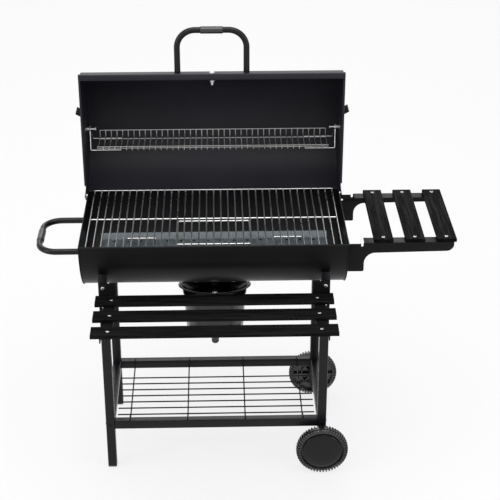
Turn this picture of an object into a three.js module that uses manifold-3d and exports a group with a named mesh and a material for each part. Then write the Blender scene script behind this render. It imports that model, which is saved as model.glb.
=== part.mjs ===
// Barrel charcoal grill trolley, lid open.
// Millimetres, +Z up, front towards -Y, carry handle at -X, side table and wheels at +X.
// The drum's middle is at x = 0, y = 0 and the floor is z = 0.

import * as THREE from 'three';
import { mergeVertices } from 'three/addons/utils/BufferGeometryUtils.js';
import Module from 'manifold-3d';

const wasm = await Module();
wasm.setup();

// ---------- driving dimensions ----------
const GAP = 0.3;
const STEEL = 2;

// Fire drum (lower half).
const RIM_Z = 717;
const DRUM_R = 182;
const DRUM_HALF = 360;
const DRUM_STEPS = 28;
const RIM_ROLL = 5;
const ASH_HOLE_R = 56;

// Lid (upper half), drawn closed and then swung open about its hinge.
const HINGE_Y = 171;
const HINGE_Z = 703;
const LID_EDGE_Z = 718;
const LID_R = 186;
const LID_HALF = 365;
const LID_END_T = 2.5;
const LID_LIP = 3.5;
const LID_OPEN_DEG = -90;
const EAR_R = 12;
const PIN_R = 4;

// Bent tube handles, one on the lid and one on the drum's left end.
const TUBE_R = 9;
const HANDLE_HALF = 96;
const HANDLE_REACH = 118;
const LID_HANDLE_REACH = 124;
const HANDLE_BEND = 50;
const GRIP_R = 10.6;
const GRIP_LENGTH = 62;
const LID_HANDLE_Z = 738;
const CARRY_HANDLE_Z = 662;

// Vent dampers on the lid ends.
const DAMPER_Z = 788;
const DAMPER_R = 42;
const DAMPER_T = 1.5;
const VENT_HOLES = 4;
const VENT_HOLE_R = 8;
const VENT_RING_R = 24;

// Warming rack that hangs inside the lid.
const RACK_PIVOT_Y = 7;
const RACK_PIVOT_Z = 807;
const RACK_DROP = 46;
const RACK_DEPTH = 104;
const RACK_HALF = 332;
const RACK_BARS = 41;
const RACK_BACK = 22;
const RACK_FRONT = 13;
const RACK_WIRE = 3;

// Cooking grate and coal tray.
const GRATE_BARS = 35;
const GRATE_PITCH = 20;
const GRATE_WIRE = 4;
const GRATE_HALF_Y = 173;
const TRAY_HALF_X = 325;
const TRAY_FLOOR_Z = 590;
const TRAY_LIP_Z = 603;
const TRAY_FLOOR_Y = 112;
const TRAY_LIP_Y = 130;
const TRAY_T = 1.5;

// Stand.
const LEG = 25;
const LEG_WALL = 1.6;
const LEG_IN_X = 288;
const LEG_Y = 160;
const LEG_TOP_Z = 631;
const RAIL_Z = 131;
const FOOT_Z = 6;
const RIGHT_LEG_Z = 58;

// Wheels and axle.
const AXLE_R = 5;
const WHEEL_R = 74;
const WHEEL_HALF_W = 15;
const WHEEL_Y = 203;
const WHEEL_X = LEG_IN_X + LEG / 2;
const HUB_CAP_R = 56.5;

// Lower wire shelf.
const SHELF_WIRE = 4;
const SHELF_WIRE_Y = [-124, -92, -60, -28, 4, 36, 68, 132];
const SHELF_CROSS_X = [-245, -81, 83, 247];
const SHELF_TOP_Z = 150;

// Front shelf.
const FRONT_SLAT_Z = 561;
const FRONT_SLAT_T = 10;
const FRONT_SLAT_W = 48;
const FRONT_SLAT_PITCH = 82;
const FRONT_SLAT_Y = -179;
const FRONT_SLAT_HALF = 320;
const FRONT_SLATS = 3;

// Side table.
const TABLE_Z = 709;
const TABLE_T = 10;
const TABLE_SLAT_W = 52;
const TABLE_PITCH = 85;
const TABLE_X = 428;
const TABLE_HALF_Y = 156.5;
const TABLE_SLATS = 3;
const BRACKET_T = 3;

// Ash dish, bucket, rod and knob.
const DISH_R = 100;
const DISH_Z = 503;
const BUCKET_TOP_Z = 487;
const BUCKET_TOP_R = 88;
const BUCKET_LOW_Z = 372;
const BUCKET_LOW_R = 81;
const ROD_R = 4;
const KNOB_Z = 310;
const KNOB_R = 11;

// ---------- materials ----------
const surface = (color, roughness, metalness) => new THREE.MeshStandardMaterial({ color, roughness, metalness });
const blackPaint = () => surface(0x1b1b1d, 0.45, 0.2);
const wireSteel = () => surface(0xb9bbbd, 0.3, 1);
const zinc = () => surface(0x8f98a3, 0.42, 1);
const blackWood = () => surface(0x1d1c1b, 0.7, 0);
const blackPlastic = () => surface(0x161617, 0.5, 0);
const glossPlastic = () => surface(0x101011, 0.15, 0);

// ---------- shape helpers ----------
const rad = THREE.MathUtils.degToRad;

// A closed geometry as a solid for cutting and joining.
function solid(geometry) {
  const bare = geometry.clone();
  bare.deleteAttribute('normal');
  bare.deleteAttribute('uv');
  const merged = mergeVertices(bare, 1e-4);
  const vertProperties = new Float32Array(merged.attributes.position.array);
  const triVerts = new Uint32Array(merged.index.array);
  return new wasm.Manifold(new wasm.Mesh({ numProp: 3, vertProperties, triVerts }));
}

// A solid back as a geometry.
function skin(body) {
  const mesh = body.getMesh();
  const geometry = new THREE.BufferGeometry();
  geometry.setAttribute('position', new THREE.BufferAttribute(new Float32Array(mesh.vertProperties), 3));
  geometry.setIndex(new THREE.BufferAttribute(new Uint32Array(mesh.triVerts), 1));
  geometry.computeVertexNormals();
  return geometry;
}

const join = (...parts) => skin(parts.map(solid).reduce((all, next) => all.add(next)));
const cut = (body, ...tools) => skin(tools.map(solid).reduce((left, tool) => left.subtract(tool), solid(body)));

// A box from its low corner to its high corner.
function block(x0, y0, z0, x1, y1, z1) {
  const box = new THREE.BoxGeometry(x1 - x0, y1 - y0, z1 - z0);
  return box.translate((x0 + x1) / 2, (y0 + y1) / 2, (z0 + z1) / 2);
}

function outline(points) {
  return new THREE.Shape(points.map(([a, b]) => new THREE.Vector2(a, b)));
}

function slab(shape, depth) {
  return new THREE.ExtrudeGeometry(shape, { depth, bevelEnabled: false, curveSegments: 12 });
}

// An outline in (y, z), drawn out along X.
function alongX(shape, x0, x1) {
  const turn = new THREE.Matrix4().makeBasis(
    new THREE.Vector3(0, 1, 0), new THREE.Vector3(0, 0, 1), new THREE.Vector3(1, 0, 0));
  return slab(shape, x1 - x0).applyMatrix4(turn).translate(x0, 0, 0);
}

// An outline in (x, z), drawn out along Y.
function alongY(shape, y0, y1) {
  return slab(shape, y1 - y0).rotateX(rad(90)).translate(0, y1, 0);
}

// An outline in (x, y), drawn out along Z.
function alongZ(shape, z0, z1) {
  return slab(shape, z1 - z0).translate(0, 0, z0);
}

// A round bar along an axis.
function rod(axis, radius, from, to, sides = 12) {
  const bar = new THREE.CylinderGeometry(radius, radius, to - from, sides);
  bar.translate(0, (from + to) / 2, 0);
  if (axis === 'x') {
    bar.rotateZ(rad(-90));
  }
  if (axis === 'z') {
    bar.rotateX(rad(90));
  }
  return bar;
}

// A straight wire between two points, as a square bar.
function strut(a, b, width) {
  const from = new THREE.Vector3(...a);
  const to = new THREE.Vector3(...b);
  const along = to.clone().sub(from);
  const bar = new THREE.BoxGeometry(width, width, along.length());
  const turn = new THREE.Quaternion().setFromUnitVectors(new THREE.Vector3(0, 0, 1), along.clone().normalize());
  bar.applyQuaternion(turn);
  const middle = from.add(to).multiplyScalar(0.5);
  return bar.translate(middle.x, middle.y, middle.z);
}

// A turned piece about Z, from (radius, height) pairs that close on themselves or on the axis.
// The pairs run counter-clockwise, so that the faces point out.
function turned(profile, steps) {
  const points = profile.map(([r, h]) => new THREE.Vector2(r, h));
  if (THREE.ShapeUtils.area(points) < 0) {
    points.reverse();
  }
  return new THREE.LatheGeometry(points, steps).rotateX(rad(90));
}

function closed(profile) {
  return [...profile, profile[0]];
}

// A square tube along an axis, open at both ends.
function squareTube(size, wall) {
  const half = size / 2;
  const inner = half - wall;
  const shape = outline([[-half, -half], [half, -half], [half, half], [-half, half]]);
  shape.holes.push(new THREE.Path([
    new THREE.Vector2(-inner, -inner), new THREE.Vector2(-inner, inner),
    new THREE.Vector2(inner, inner), new THREE.Vector2(inner, -inner)]));
  return shape;
}

// Points along an arc of a circle in a plane.
function arc(cx, cy, radius, fromDeg, toDeg, steps) {
  const points = [];
  for (let i = 0; i <= steps; i += 1) {
    const a = rad(fromDeg + ((toDeg - fromDeg) * i) / steps);
    points.push([cx + radius * Math.cos(a), cy + radius * Math.sin(a)]);
  }
  return points;
}

// The U-shaped tube handle: both feet on the x axis line, reaching out along +Y.
function handleTube(reach) {
  const bend = HANDLE_BEND;
  const k = 0.5523 * bend;
  const w = HANDLE_HALF;
  const r = reach;
  const v = (x, y) => new THREE.Vector3(x, y, 0);
  const path = new THREE.CurvePath();
  path.add(new THREE.LineCurve3(v(-w, 0), v(-w, r - bend)));
  path.add(new THREE.CubicBezierCurve3(v(-w, r - bend), v(-w, r - bend + k), v(-w + bend - k, r), v(-w + bend, r)));
  path.add(new THREE.LineCurve3(v(-w + bend, r), v(w - bend, r)));
  path.add(new THREE.CubicBezierCurve3(v(w - bend, r), v(w - bend + k, r), v(w, r - bend + k), v(w, r - bend)));
  path.add(new THREE.LineCurve3(v(w, r - bend), v(w, 0)));
  const ring = new THREE.Shape(arc(0, 0, TUBE_R, 0, 324, 9).map(([a, b]) => new THREE.Vector2(a, b)));
  return new THREE.ExtrudeGeometry(ring, { steps: 24, extrudePath: path, bevelEnabled: false });
}

// The sleeve around the middle of the handle's cross bar.
function handleGrip(reach) {
  const inner = TUBE_R + GAP + 0.2;
  const half = GRIP_LENGTH / 2;
  const lip = 2;
  const profile = closed([
    [inner, -half], [GRIP_R - 0.6, -half], [GRIP_R, -half + lip],
    [GRIP_R, half - lip], [GRIP_R - 0.6, half], [inner, half]]);
  return turned(profile, 16).rotateY(rad(90)).translate(0, reach, 0);
}

// A flat grid of square bars along Y, tied by cross wires along X: slots cut through a plate.
function barGrid(halfX, halfY, z0, z1, bars, wire, crossWires) {
  const pitch = (2 * halfX - wire) / (bars - 1);
  const slots = [];
  for (let i = 0; i < bars - 1; i += 1) {
    const left = -halfX + i * pitch + wire;
    for (let j = 0; j < crossWires.length - 1; j += 1) {
      const low = crossWires[j] + wire / 2;
      const high = crossWires[j + 1] - wire / 2;
      slots.push(block(left, low, z0 - 1, left + pitch - wire, high, z1 + 1));
    }
  }
  return cut(block(-halfX, -halfY, z0, halfX, halfY, z1), ...slots);
}

// ---------- the assembly ----------
const grill = new THREE.Group();
grill.name = 'barrel_grill';

function place(parent, name, geometry, material) {
  const mesh = new THREE.Mesh(geometry, material);
  mesh.name = name;
  parent.add(mesh);
  return mesh;
}

// ---------- fire drum ----------
function drumShell() {
  const inner = DRUM_R - STEEL;
  const low = RIM_Z - RIM_ROLL;
  const lowAngle = (Math.asin(RIM_ROLL / inner) * 180) / Math.PI;
  const roll = 4;
  const points = [
    [inner - roll, RIM_Z], [inner - roll, low],
    ...arc(0, RIM_Z, inner - STEEL, -lowAngle, -180 + lowAngle, DRUM_STEPS),
    [-inner + roll, low], [-inner + roll, RIM_Z], [-DRUM_R, RIM_Z], [-DRUM_R, low],
    ...arc(0, RIM_Z, inner, -180 + lowAngle, -lowAngle, DRUM_STEPS),
    [DRUM_R, low], [DRUM_R, RIM_Z]];
  const ends = DRUM_HALF - STEEL - 0.5 - GAP;
  const shell = alongX(outline(points), -ends, ends);
  const ashHole = rod('z', ASH_HOLE_R, RIM_Z - DRUM_R - 20, RIM_Z - DRUM_R + 40, 24);
  return cut(shell, ashHole);
}

function drumEnd(side) {
  const points = [[DRUM_R, RIM_Z], ...arc(0, RIM_Z, DRUM_R, 0, -180, DRUM_STEPS).slice(1)];
  const inside = DRUM_HALF - STEEL - 0.5;
  const faces = [side * inside, side * DRUM_HALF].sort((a, b) => a - b);
  const plate = alongX(outline(points), faces[0], faces[1]);
  const pinHole = rod('x', PIN_R + GAP, faces[0] - 1, faces[1] + 1).translate(0, HINGE_Y, HINGE_Z);
  return cut(plate, pinHole);
}

place(grill, 'firebox_shell', drumShell(), blackPaint());
for (const [label, side] of [['left', -1], ['right', 1]]) {
  place(grill, `firebox_end_${label}`, drumEnd(side), blackPaint());
}

// ---------- cooking grate ----------
const grateTop = RIM_Z - 1;
const grateX = ((GRATE_BARS - 1) * GRATE_PITCH) / 2 + GRATE_WIRE / 2;
const grateLoopX = 98;
const grateLoopY = [-152, -13];
const loopLow = grateTop - 11;
function cookingGrate() {
  const edge = GRATE_HALF_Y - GRATE_WIRE / 2;
  const pieces = [barGrid(grateX, GRATE_HALF_Y, grateTop - 6, grateTop, GRATE_BARS, GRATE_WIRE, [-edge, 0, edge])];
  const w = GRATE_WIRE / 2;
  for (const y of grateLoopY) {
    pieces.push(block(-grateLoopX - w, y - w, loopLow, grateLoopX + w, y + w, grateTop - 5));
  }
  for (const x of [-grateLoopX, grateLoopX]) {
    pieces.push(block(x - w, grateLoopY[0], loopLow, x + w, grateLoopY[1], loopLow + GRATE_WIRE));
  }
  return join(...pieces);
}
place(grill, 'cooking_grate', cookingGrate(), wireSteel());

// ---------- coal tray ----------
const trayHoleR = 4.5;
const trayHoles = 16;
const trayHolePitch = 38;
function coalTray() {
  const t = TRAY_T;
  const fold = 3;
  const profile = outline([
    [-TRAY_LIP_Y, TRAY_LIP_Z], [-TRAY_FLOOR_Y, TRAY_FLOOR_Z], [TRAY_FLOOR_Y, TRAY_FLOOR_Z],
    [TRAY_LIP_Y, TRAY_LIP_Z], [TRAY_LIP_Y - fold, TRAY_LIP_Z + t],
    [TRAY_FLOOR_Y - t, TRAY_FLOOR_Z + t], [-TRAY_FLOOR_Y + t, TRAY_FLOOR_Z + t],
    [-TRAY_LIP_Y + fold, TRAY_LIP_Z + t]]);
  const tray = alongX(profile, -TRAY_HALF_X, TRAY_HALF_X);
  const holes = [];
  for (let i = 0; i < trayHoles; i += 1) {
    const x = (i - (trayHoles - 1) / 2) * trayHolePitch;
    const hole = rod('z', trayHoleR, TRAY_FLOOR_Z - 2, TRAY_FLOOR_Z + 4, 6);
    holes.push(hole.translate(x, TRAY_FLOOR_Y - 12, 0));
  }
  return cut(tray, ...holes);
}
function trayHandle(x) {
  const low = TRAY_FLOOR_Z + TRAY_T + GAP;
  const half = 45;
  const top = low + 20;
  const wire = 5;
  const y = TRAY_FLOOR_Y - 30;
  return join(
    block(x - half, y - wire / 2, top - wire, x + half, y + wire / 2, top),
    block(x - half, y - wire / 2, low, x - half + wire, y + wire / 2, top),
    block(x + half - wire, y - wire / 2, low, x + half, y + wire / 2, top));
}
place(grill, 'coal_tray', coalTray(), zinc());
place(grill, 'coal_tray_handle_left', trayHandle(-207), wireSteel());
place(grill, 'coal_tray_handle_right', trayHandle(210), wireSteel());

// ---------- ash dish, rod, bucket and knob ----------
const dishLow = DISH_Z - 27;
const spoutR = 58;
const spoutLow = dishLow - 10;
const dishRoll = 3;
function ashDish() {
  const t = 1.6;
  const dish = turned(closed([
    [DISH_R, DISH_Z + 75], [DISH_R, DISH_Z + dishRoll], [DISH_R + dishRoll, DISH_Z + dishRoll],
    [DISH_R + dishRoll, DISH_Z - 1], [DISH_R - 4, DISH_Z - 3], [DISH_R - 20, DISH_Z - 18],
    [spoutR + t, dishLow], [spoutR + t, spoutLow],
    [spoutR, spoutLow], [spoutR, dishLow + 1],
    [DISH_R - 21, DISH_Z - 16.4], [DISH_R - 5, DISH_Z - 1],
    [DISH_R - t, DISH_Z + 75]]), 24);
  const drumSpace = rod('x', DRUM_R + GAP, -DISH_R - 20, DISH_R + 20, 56).translate(0, 0, RIM_Z);
  return cut(dish, drumSpace);
}
const barZ = spoutLow + 2;
const rodLow = KNOB_Z + 12;
function ashRod() {
  const reach = spoutR - 2;
  return join(
    block(-8, -reach, barZ, 8, reach, barZ + 4),
    rod('z', ROD_R, rodLow, barZ + 12));
}
function ashBucket() {
  const t = 1.5;
  const bore = ROD_R + 0.8;
  return turned(closed([
    [bore, BUCKET_LOW_Z], [BUCKET_LOW_R - 3, BUCKET_LOW_Z], [BUCKET_LOW_R, BUCKET_LOW_Z + 3],
    [BUCKET_TOP_R, BUCKET_TOP_Z - 4], [BUCKET_TOP_R + 2.5, BUCKET_TOP_Z - 4],
    [BUCKET_TOP_R + 2.5, BUCKET_TOP_Z], [BUCKET_TOP_R - t, BUCKET_TOP_Z],
    [BUCKET_LOW_R - t, BUCKET_LOW_Z + 3 + t], [BUCKET_LOW_R - 4, BUCKET_LOW_Z + t + 0.5],
    [bore, BUCKET_LOW_Z + t + 0.5]]), 24);
}
function ashKnob() {
  const bore = ROD_R + 0.6;
  const sleeve = 7.5;
  const neck = KNOB_Z + 2 * KNOB_R;
  return turned([
    [0, KNOB_Z], [KNOB_R * 0.62, KNOB_Z + 1.5], [KNOB_R, KNOB_Z + 7], [KNOB_R, KNOB_Z + 15],
    [sleeve, neck], [sleeve, BUCKET_LOW_Z - GAP], [bore, BUCKET_LOW_Z - GAP],
    [bore, rodLow - 2], [0, rodLow - 2]], 20);
}
place(grill, 'ash_dish', ashDish(), glossPlastic());
place(grill, 'ash_rod', ashRod(), wireSteel());
place(grill, 'ash_bucket', ashBucket(), blackPaint());
place(grill, 'ash_knob', ashKnob(), blackPlastic());

// ---------- carry handle on the left end ----------
const carry = new THREE.Group();
carry.position.set(-DRUM_HALF - GAP, 0, CARRY_HANDLE_Z);
carry.rotation.z = rad(90);
grill.add(carry);
place(carry, 'carry_handle', handleTube(HANDLE_REACH), blackPaint());
place(carry, 'carry_handle_grip', handleGrip(HANDLE_REACH), blackPlastic());

// ---------- lid, drawn closed about its hinge ----------
const lid = new THREE.Group();
lid.position.set(0, HINGE_Y, HINGE_Z);
lid.rotation.x = rad(LID_OPEN_DEG);
grill.add(lid);
const fromHinge = (geometry) => geometry.translate(0, -HINGE_Y, -HINGE_Z);

function lidShell() {
  const z = LID_EDGE_Z;
  const inner = LID_R - STEEL;
  const roll = 10;
  const lift = (Math.asin(roll / LID_R) * 180) / Math.PI;
  const points = [
    [inner, z], ...arc(0, z, LID_R, 0, 180 - lift, DRUM_STEPS),
    [-LID_R - 1.5, z + roll], [-LID_R - LID_LIP, z + roll - 2.5],
    [-LID_R - LID_LIP, z + 2.5], [-LID_R - 1.5, z], [-inner, z],
    ...arc(0, z, inner, 180, 0, DRUM_STEPS).slice(1, -1)];
  const ends = LID_HALF - GAP;
  const shell = alongX(outline(points), -ends, ends);
  const boltHole = rod('y', 4.4, -LID_R - 10, -LID_R + 20).translate(0, 0, LID_HANDLE_Z);
  return cut(shell, boltHole);
}

function ventHoles(x) {
  const holes = [];
  for (let i = 0; i < VENT_HOLES; i += 1) {
    const a = rad(45 + (i * 360) / VENT_HOLES);
    const hole = rod('x', VENT_HOLE_R, x - 4, x + 4, 8);
    holes.push(hole.translate(0, VENT_RING_R * Math.cos(a), DAMPER_Z + VENT_RING_R * Math.sin(a)));
  }
  return holes;
}

function lidEnd(side) {
  const z = LID_EDGE_Z;
  const ear = [
    [HINGE_Y - EAR_R - 6, z], [HINGE_Y - EAR_R, HINGE_Z],
    ...arc(HINGE_Y, HINGE_Z, EAR_R, 180, 360, 8).slice(1, -1), [LID_R, HINGE_Z]];
  const points = [[-LID_R, z], ...ear, ...arc(0, z, LID_R, 0, 180, DRUM_STEPS).slice(0, -1)];
  const faces = [side * LID_HALF, side * (LID_HALF + LID_END_T)].sort((a, b) => a - b);
  const lipFaces = [side * (LID_HALF + LID_END_T - 1), side * (LID_HALF + LID_END_T + LID_LIP)].sort((a, b) => a - b);
  const plate = join(
    alongX(outline(points), faces[0], faces[1]),
    block(lipFaces[0], -LID_R, z, lipFaces[1], HINGE_Y - EAR_R - 12, z + 9));
  const middle = (faces[0] + faces[1]) / 2;
  const through = (r, y, h) => rod('x', r, middle - 8, middle + 8).translate(0, y, h);
  return cut(plate,
    through(PIN_R + GAP, HINGE_Y, HINGE_Z),
    through(3.8, 0, DAMPER_Z),
    through(3.8, RACK_PIVOT_Y, RACK_PIVOT_Z + 0),
    ...ventHoles(middle));
}

place(lid, 'lid_shell', fromHinge(lidShell()), blackPaint());
for (const [label, side] of [['left', -1], ['right', 1]]) {
  place(lid, `lid_end_${label}`, fromHinge(lidEnd(side)), blackPaint());
}

// Bolt with a nut and a short stem at the middle of the lid's front.
function lidBolt() {
  return join(
    rod('y', 4, -LID_R - 1, -LID_R + 36, 10),
    rod('y', 7.5, -LID_R + 22, -LID_R + 28, 6),
    rod('y', 7.5, -LID_R - 3.5, -LID_R - 0.3, 12)).translate(0, 0, LID_HANDLE_Z);
}
place(lid, 'lid_bolt', fromHinge(lidBolt()), wireSteel());

const lidHandle = new THREE.Group();
lidHandle.position.set(0, -LID_R - 0.4 - HINGE_Y, LID_HANDLE_Z - HINGE_Z);
lidHandle.rotation.z = rad(180);
lid.add(lidHandle);
place(lidHandle, 'lid_handle', handleTube(LID_HANDLE_REACH), blackPaint());
place(lidHandle, 'lid_handle_grip', handleGrip(LID_HANDLE_REACH), blackPlastic());

// Hinge pins through the drum ends and the lid's ears.
function hingePin(side) {
  const head = 3;
  const from = DRUM_HALF - STEEL - 0.4;
  const to = LID_HALF + LID_END_T + GAP;
  const shank = rod('x', PIN_R, from, to + 1);
  const outer = rod('x', PIN_R + 3, to, to + head, 12);
  const spacer = rod('x', PIN_R + 2.4, DRUM_HALF + GAP, LID_HALF - GAP, 12);
  const pin = join(shank, outer, spacer);
  if (side < 0) {
    pin.rotateZ(rad(180));
  }
  return pin.translate(0, HINGE_Y, HINGE_Z);
}
place(grill, 'hinge_pin_left', hingePin(-1), zinc());
place(grill, 'hinge_pin_right', hingePin(1), zinc());

// ---------- vent dampers ----------
const damperX = LID_HALF + LID_END_T + 0.5;
function damperDisc(side) {
  const holes = [];
  const disc = rod('x', DAMPER_R, damperX, damperX + DAMPER_T, 24);
  const tabY = 46;
  const tab = alongX(outline([[-DAMPER_R - 4, -23], [-DAMPER_R + 8, -23], [-DAMPER_R + 8, 23], [-DAMPER_R - 4, 23]]),
    damperX, damperX + DAMPER_T);
  const wing = alongZ(outline([
    [damperX, -DAMPER_R - 4], [damperX + 19, -DAMPER_R - 14], [damperX + 19, -DAMPER_R - 12.4],
    [damperX + DAMPER_T, -DAMPER_R - 2]]), -tabY / 2, tabY / 2);
  for (let i = 0; i < VENT_HOLES; i += 1) {
    const a = rad(45 + (i * 360) / VENT_HOLES);
    const hole = rod('x', VENT_HOLE_R, damperX - 2, damperX + DAMPER_T + 2, 8);
    holes.push(hole.translate(0, VENT_RING_R * Math.cos(a), VENT_RING_R * Math.sin(a)));
  }
  const whole = cut(join(disc, tab, wing), ...holes, rod('x', 3.8, damperX - 2, damperX + 4));
  if (side > 0) {
    return whole;
  }
  // The left one is the mirror image, with its faces turned the right way out again.
  const mirrored = whole.toNonIndexed().scale(-1, 1, 1);
  const p = mirrored.attributes.position;
  for (let i = 0; i < p.count; i += 3) {
    const keep = [p.getX(i), p.getY(i), p.getZ(i)];
    p.setXYZ(i, p.getX(i + 1), p.getY(i + 1), p.getZ(i + 1));
    p.setXYZ(i + 1, ...keep);
  }
  return mergeVertices(bareCopy(mirrored), 1e-4);
}
function bareCopy(geometry) {
  const bare = geometry.clone();
  bare.deleteAttribute('normal');
  return bare;
}
function damperRivet(side) {
  const rivet = join(
    rod('x', 3.4, LID_HALF - 1.5, damperX + DAMPER_T + 1.5),
    rod('x', 6.5, damperX + DAMPER_T + GAP, damperX + DAMPER_T + 2.8),
    rod('x', 6.5, LID_HALF - 2.6, LID_HALF - GAP));
  return side < 0 ? rivet.rotateZ(rad(180)) : rivet;
}
for (const [label, side] of [['left', -1], ['right', 1]]) {
  const damper = place(lid, `vent_damper_${label}`, damperDisc(side), blackPaint());
  damper.position.set(0, -HINGE_Y, DAMPER_Z - HINGE_Z);
  const rivet = place(lid, `vent_rivet_${label}`, damperRivet(side), zinc());
  rivet.position.set(0, -HINGE_Y, DAMPER_Z - HINGE_Z);
}

// ---------- warming rack ----------
const rack = new THREE.Group();
rack.position.set(0, RACK_PIVOT_Y - HINGE_Y, RACK_PIVOT_Z - HINGE_Z);
rack.rotation.x = rad(-LID_OPEN_DEG);
lid.add(rack);

const rackEyeX = 348;
const rackEyeR = 8;
function warmingRack() {
  const w = RACK_WIRE;
  const half = RACK_DEPTH / 2;
  const edge = half - w / 2;
  const pieces = [barGrid(RACK_HALF, half, -RACK_DROP, -RACK_DROP + w, RACK_BARS, w, [-edge, edge])];
  const fence = (y, tall) => {
    pieces.push(block(-RACK_HALF, y - w / 2, -RACK_DROP + tall - w, RACK_HALF, y + w / 2, -RACK_DROP + tall));
    for (const x of [-RACK_HALF, -RACK_HALF / 3, RACK_HALF / 3 - w, RACK_HALF - w]) {
      pieces.push(block(x, y - w / 2, -RACK_DROP, x + w, y + w / 2, -RACK_DROP + tall));
    }
  };
  fence(half - w / 2, RACK_BACK);
  fence(-half + w / 2, RACK_FRONT);
  for (const side of [-1, 1]) {
    const x = side * rackEyeX;
    const low = -RACK_DROP + w / 2;
    const eye = rod('x', rackEyeR, -2.5, 2.5, 12).translate(x, 0, 0);
    pieces.push(eye);
    for (const y of [-half + 6, half - 6]) {
      const start = [x, Math.sign(y) * 5, -3];
      pieces.push(strut(start, [x, y, low], w));
      pieces.push(block(Math.min(x - w / 2, side * (RACK_HALF - 1)), y - w / 2, low - w / 2,
        Math.max(x + w / 2, side * (RACK_HALF - 1)), y + w / 2, low + w / 2));
    }
  }
  const joined = join(...pieces);
  return cut(joined, rod('x', 4.3, -rackEyeX - 10, -rackEyeX + 10), rod('x', 4.3, rackEyeX - 10, rackEyeX + 10));
}
place(rack, 'warming_rack', warmingRack(), wireSteel());

function rackPin(side) {
  const pin = join(
    rod('x', 3.4, rackEyeX - 6, LID_HALF + LID_END_T + 0.2),
    rod('x', 6.5, rackEyeX - 6, rackEyeX - 3.2),
    rod('x', 6, rackEyeX + 3.4, LID_HALF - GAP));
  return side < 0 ? pin.rotateZ(rad(180)) : pin;
}
for (const [label, side] of [['left', -1], ['right', 1]]) {
  const pin = place(lid, `rack_pin_${label}`, rackPin(side), zinc());
  pin.position.set(0, RACK_PIVOT_Y - HINGE_Y, RACK_PIVOT_Z - HINGE_Z);
}

// ---------- legs, rails and feet ----------
const drumClear = rod('x', DRUM_R + 2 * GAP, -DRUM_HALF, DRUM_HALF, 56).translate(0, 0, RIM_Z);
const legSpots = [
  ['front_left', -1, -1], ['front_right', 1, -1], ['rear_left', -1, 1], ['rear_right', 1, 1]];
for (const [label, sx, sy] of legSpots) {
  const low = sx < 0 ? FOOT_Z + GAP : RIGHT_LEG_Z;
  const x = sx * (LEG_IN_X + LEG / 2);
  const tube = alongZ(squareTube(LEG, LEG_WALL), low, LEG_TOP_Z).translate(x, sy * LEG_Y, 0);
  const axleHole = rod('y', AXLE_R + 2 * GAP, -LEG, LEG).translate(x, sy * LEG_Y, WHEEL_R);
  const leg = sx < 0 ? cut(tube, drumClear) : cut(tube, drumClear, axleHole);
  place(grill, `leg_${label}`, leg, blackPaint());
  if (sx < 0) {
    const half = LEG / 2;
    const plug = half - LEG_WALL - GAP;
    const foot = join(
      block(x - half, sy * LEG_Y - half, 0, x + half, sy * LEG_Y + half, FOOT_Z),
      block(x - plug, sy * LEG_Y - plug, FOOT_Z - 1, x + plug, sy * LEG_Y + plug, FOOT_Z + 14));
    place(grill, `foot_${label}`, foot, blackPlastic());
  }
}
const railLength = LEG_IN_X - GAP;
for (const [label, sy] of [['front', -1], ['rear', 1]]) {
  const rail = alongX(squareTube(LEG, LEG_WALL), -railLength, railLength);
  place(grill, `rail_${label}`, rail.translate(0, sy * LEG_Y, RAIL_Z + LEG / 2), blackPaint());
}
for (const [label, sx] of [['left', -1], ['right', 1]]) {
  const reach = LEG_Y - LEG / 2 - GAP;
  const rail = alongY(squareTube(LEG, LEG_WALL), -reach, reach);
  place(grill, `rail_${label}`, rail.translate(sx * (LEG_IN_X + LEG / 2), 0, RAIL_Z + LEG / 2), blackPaint());
}

// ---------- lower wire shelf ----------
function wireShelf() {
  const w = SHELF_WIRE;
  const halfX = 282;
  const inside = LEG_Y - LEG / 2 - 1;
  const railTop = RAIL_Z + LEG + GAP;
  const pieces = [];
  for (const y of SHELF_WIRE_Y) {
    pieces.push(block(-halfX, y - w / 2, SHELF_TOP_Z - w, halfX, y + w / 2, SHELF_TOP_Z));
  }
  for (const x of SHELF_CROSS_X) {
    const low = SHELF_TOP_Z - 2 * w + 0.5;
    pieces.push(block(x - w / 2, -inside, low, x + w / 2, inside, low + w));
    for (const side of [-1, 1]) {
      const wall = side * (inside - w);
      const end = side * inside;
      const over = side * (LEG_Y + 4);
      pieces.push(block(x - w / 2, Math.min(wall, end), low, x + w / 2, Math.max(wall, end), railTop + w));
      pieces.push(block(x - w / 2, Math.min(wall, over), railTop, x + w / 2, Math.max(wall, over), railTop + w));
    }
  }
  return join(...pieces);
}
place(grill, 'wire_shelf', wireShelf(), blackPaint());

// ---------- wheels ----------
function wheelBody() {
  const bore = AXLE_R + 2 * GAP;
  const h = WHEEL_HALF_W;
  const neck = 16;
  const spacer = -h - 12;
  return turned(closed([
    [bore, spacer], [neck, spacer], [neck, -2], [60, -2], [61.5, -h], [WHEEL_R - 4, -h], [WHEEL_R, -h + 4],
    [WHEEL_R, h - 4], [WHEEL_R - 4, h], [61, h], [58.5, 8], [bore, 8]]), 28);
}
function hubCap() {
  const seat = 8 + GAP;
  return turned([
    [0, seat], [HUB_CAP_R, seat], [HUB_CAP_R, 12], [HUB_CAP_R - 5, 16.5],
    [34, 20], [0, 21.7]], 24);
}
for (const [label, sy] of [['front', -1], ['rear', 1]]) {
  const spin = new THREE.Group();
  spin.position.set(WHEEL_X, sy * WHEEL_Y, WHEEL_R);
  // The turned profile's height points outwards, and a vertex row stands straight down.
  spin.rotation.x = rad(sy < 0 ? 90 : -90);
  grill.add(spin);
  place(spin, `wheel_${label}`, wheelBody(), blackPlastic());
  place(spin, `hub_cap_${label}`, hubCap(), glossPlastic());
}
const axleReach = WHEEL_Y + 7.5;
place(grill, 'axle', rod('y', AXLE_R, -axleReach, axleReach).translate(WHEEL_X, 0, WHEEL_R), zinc());

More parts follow.
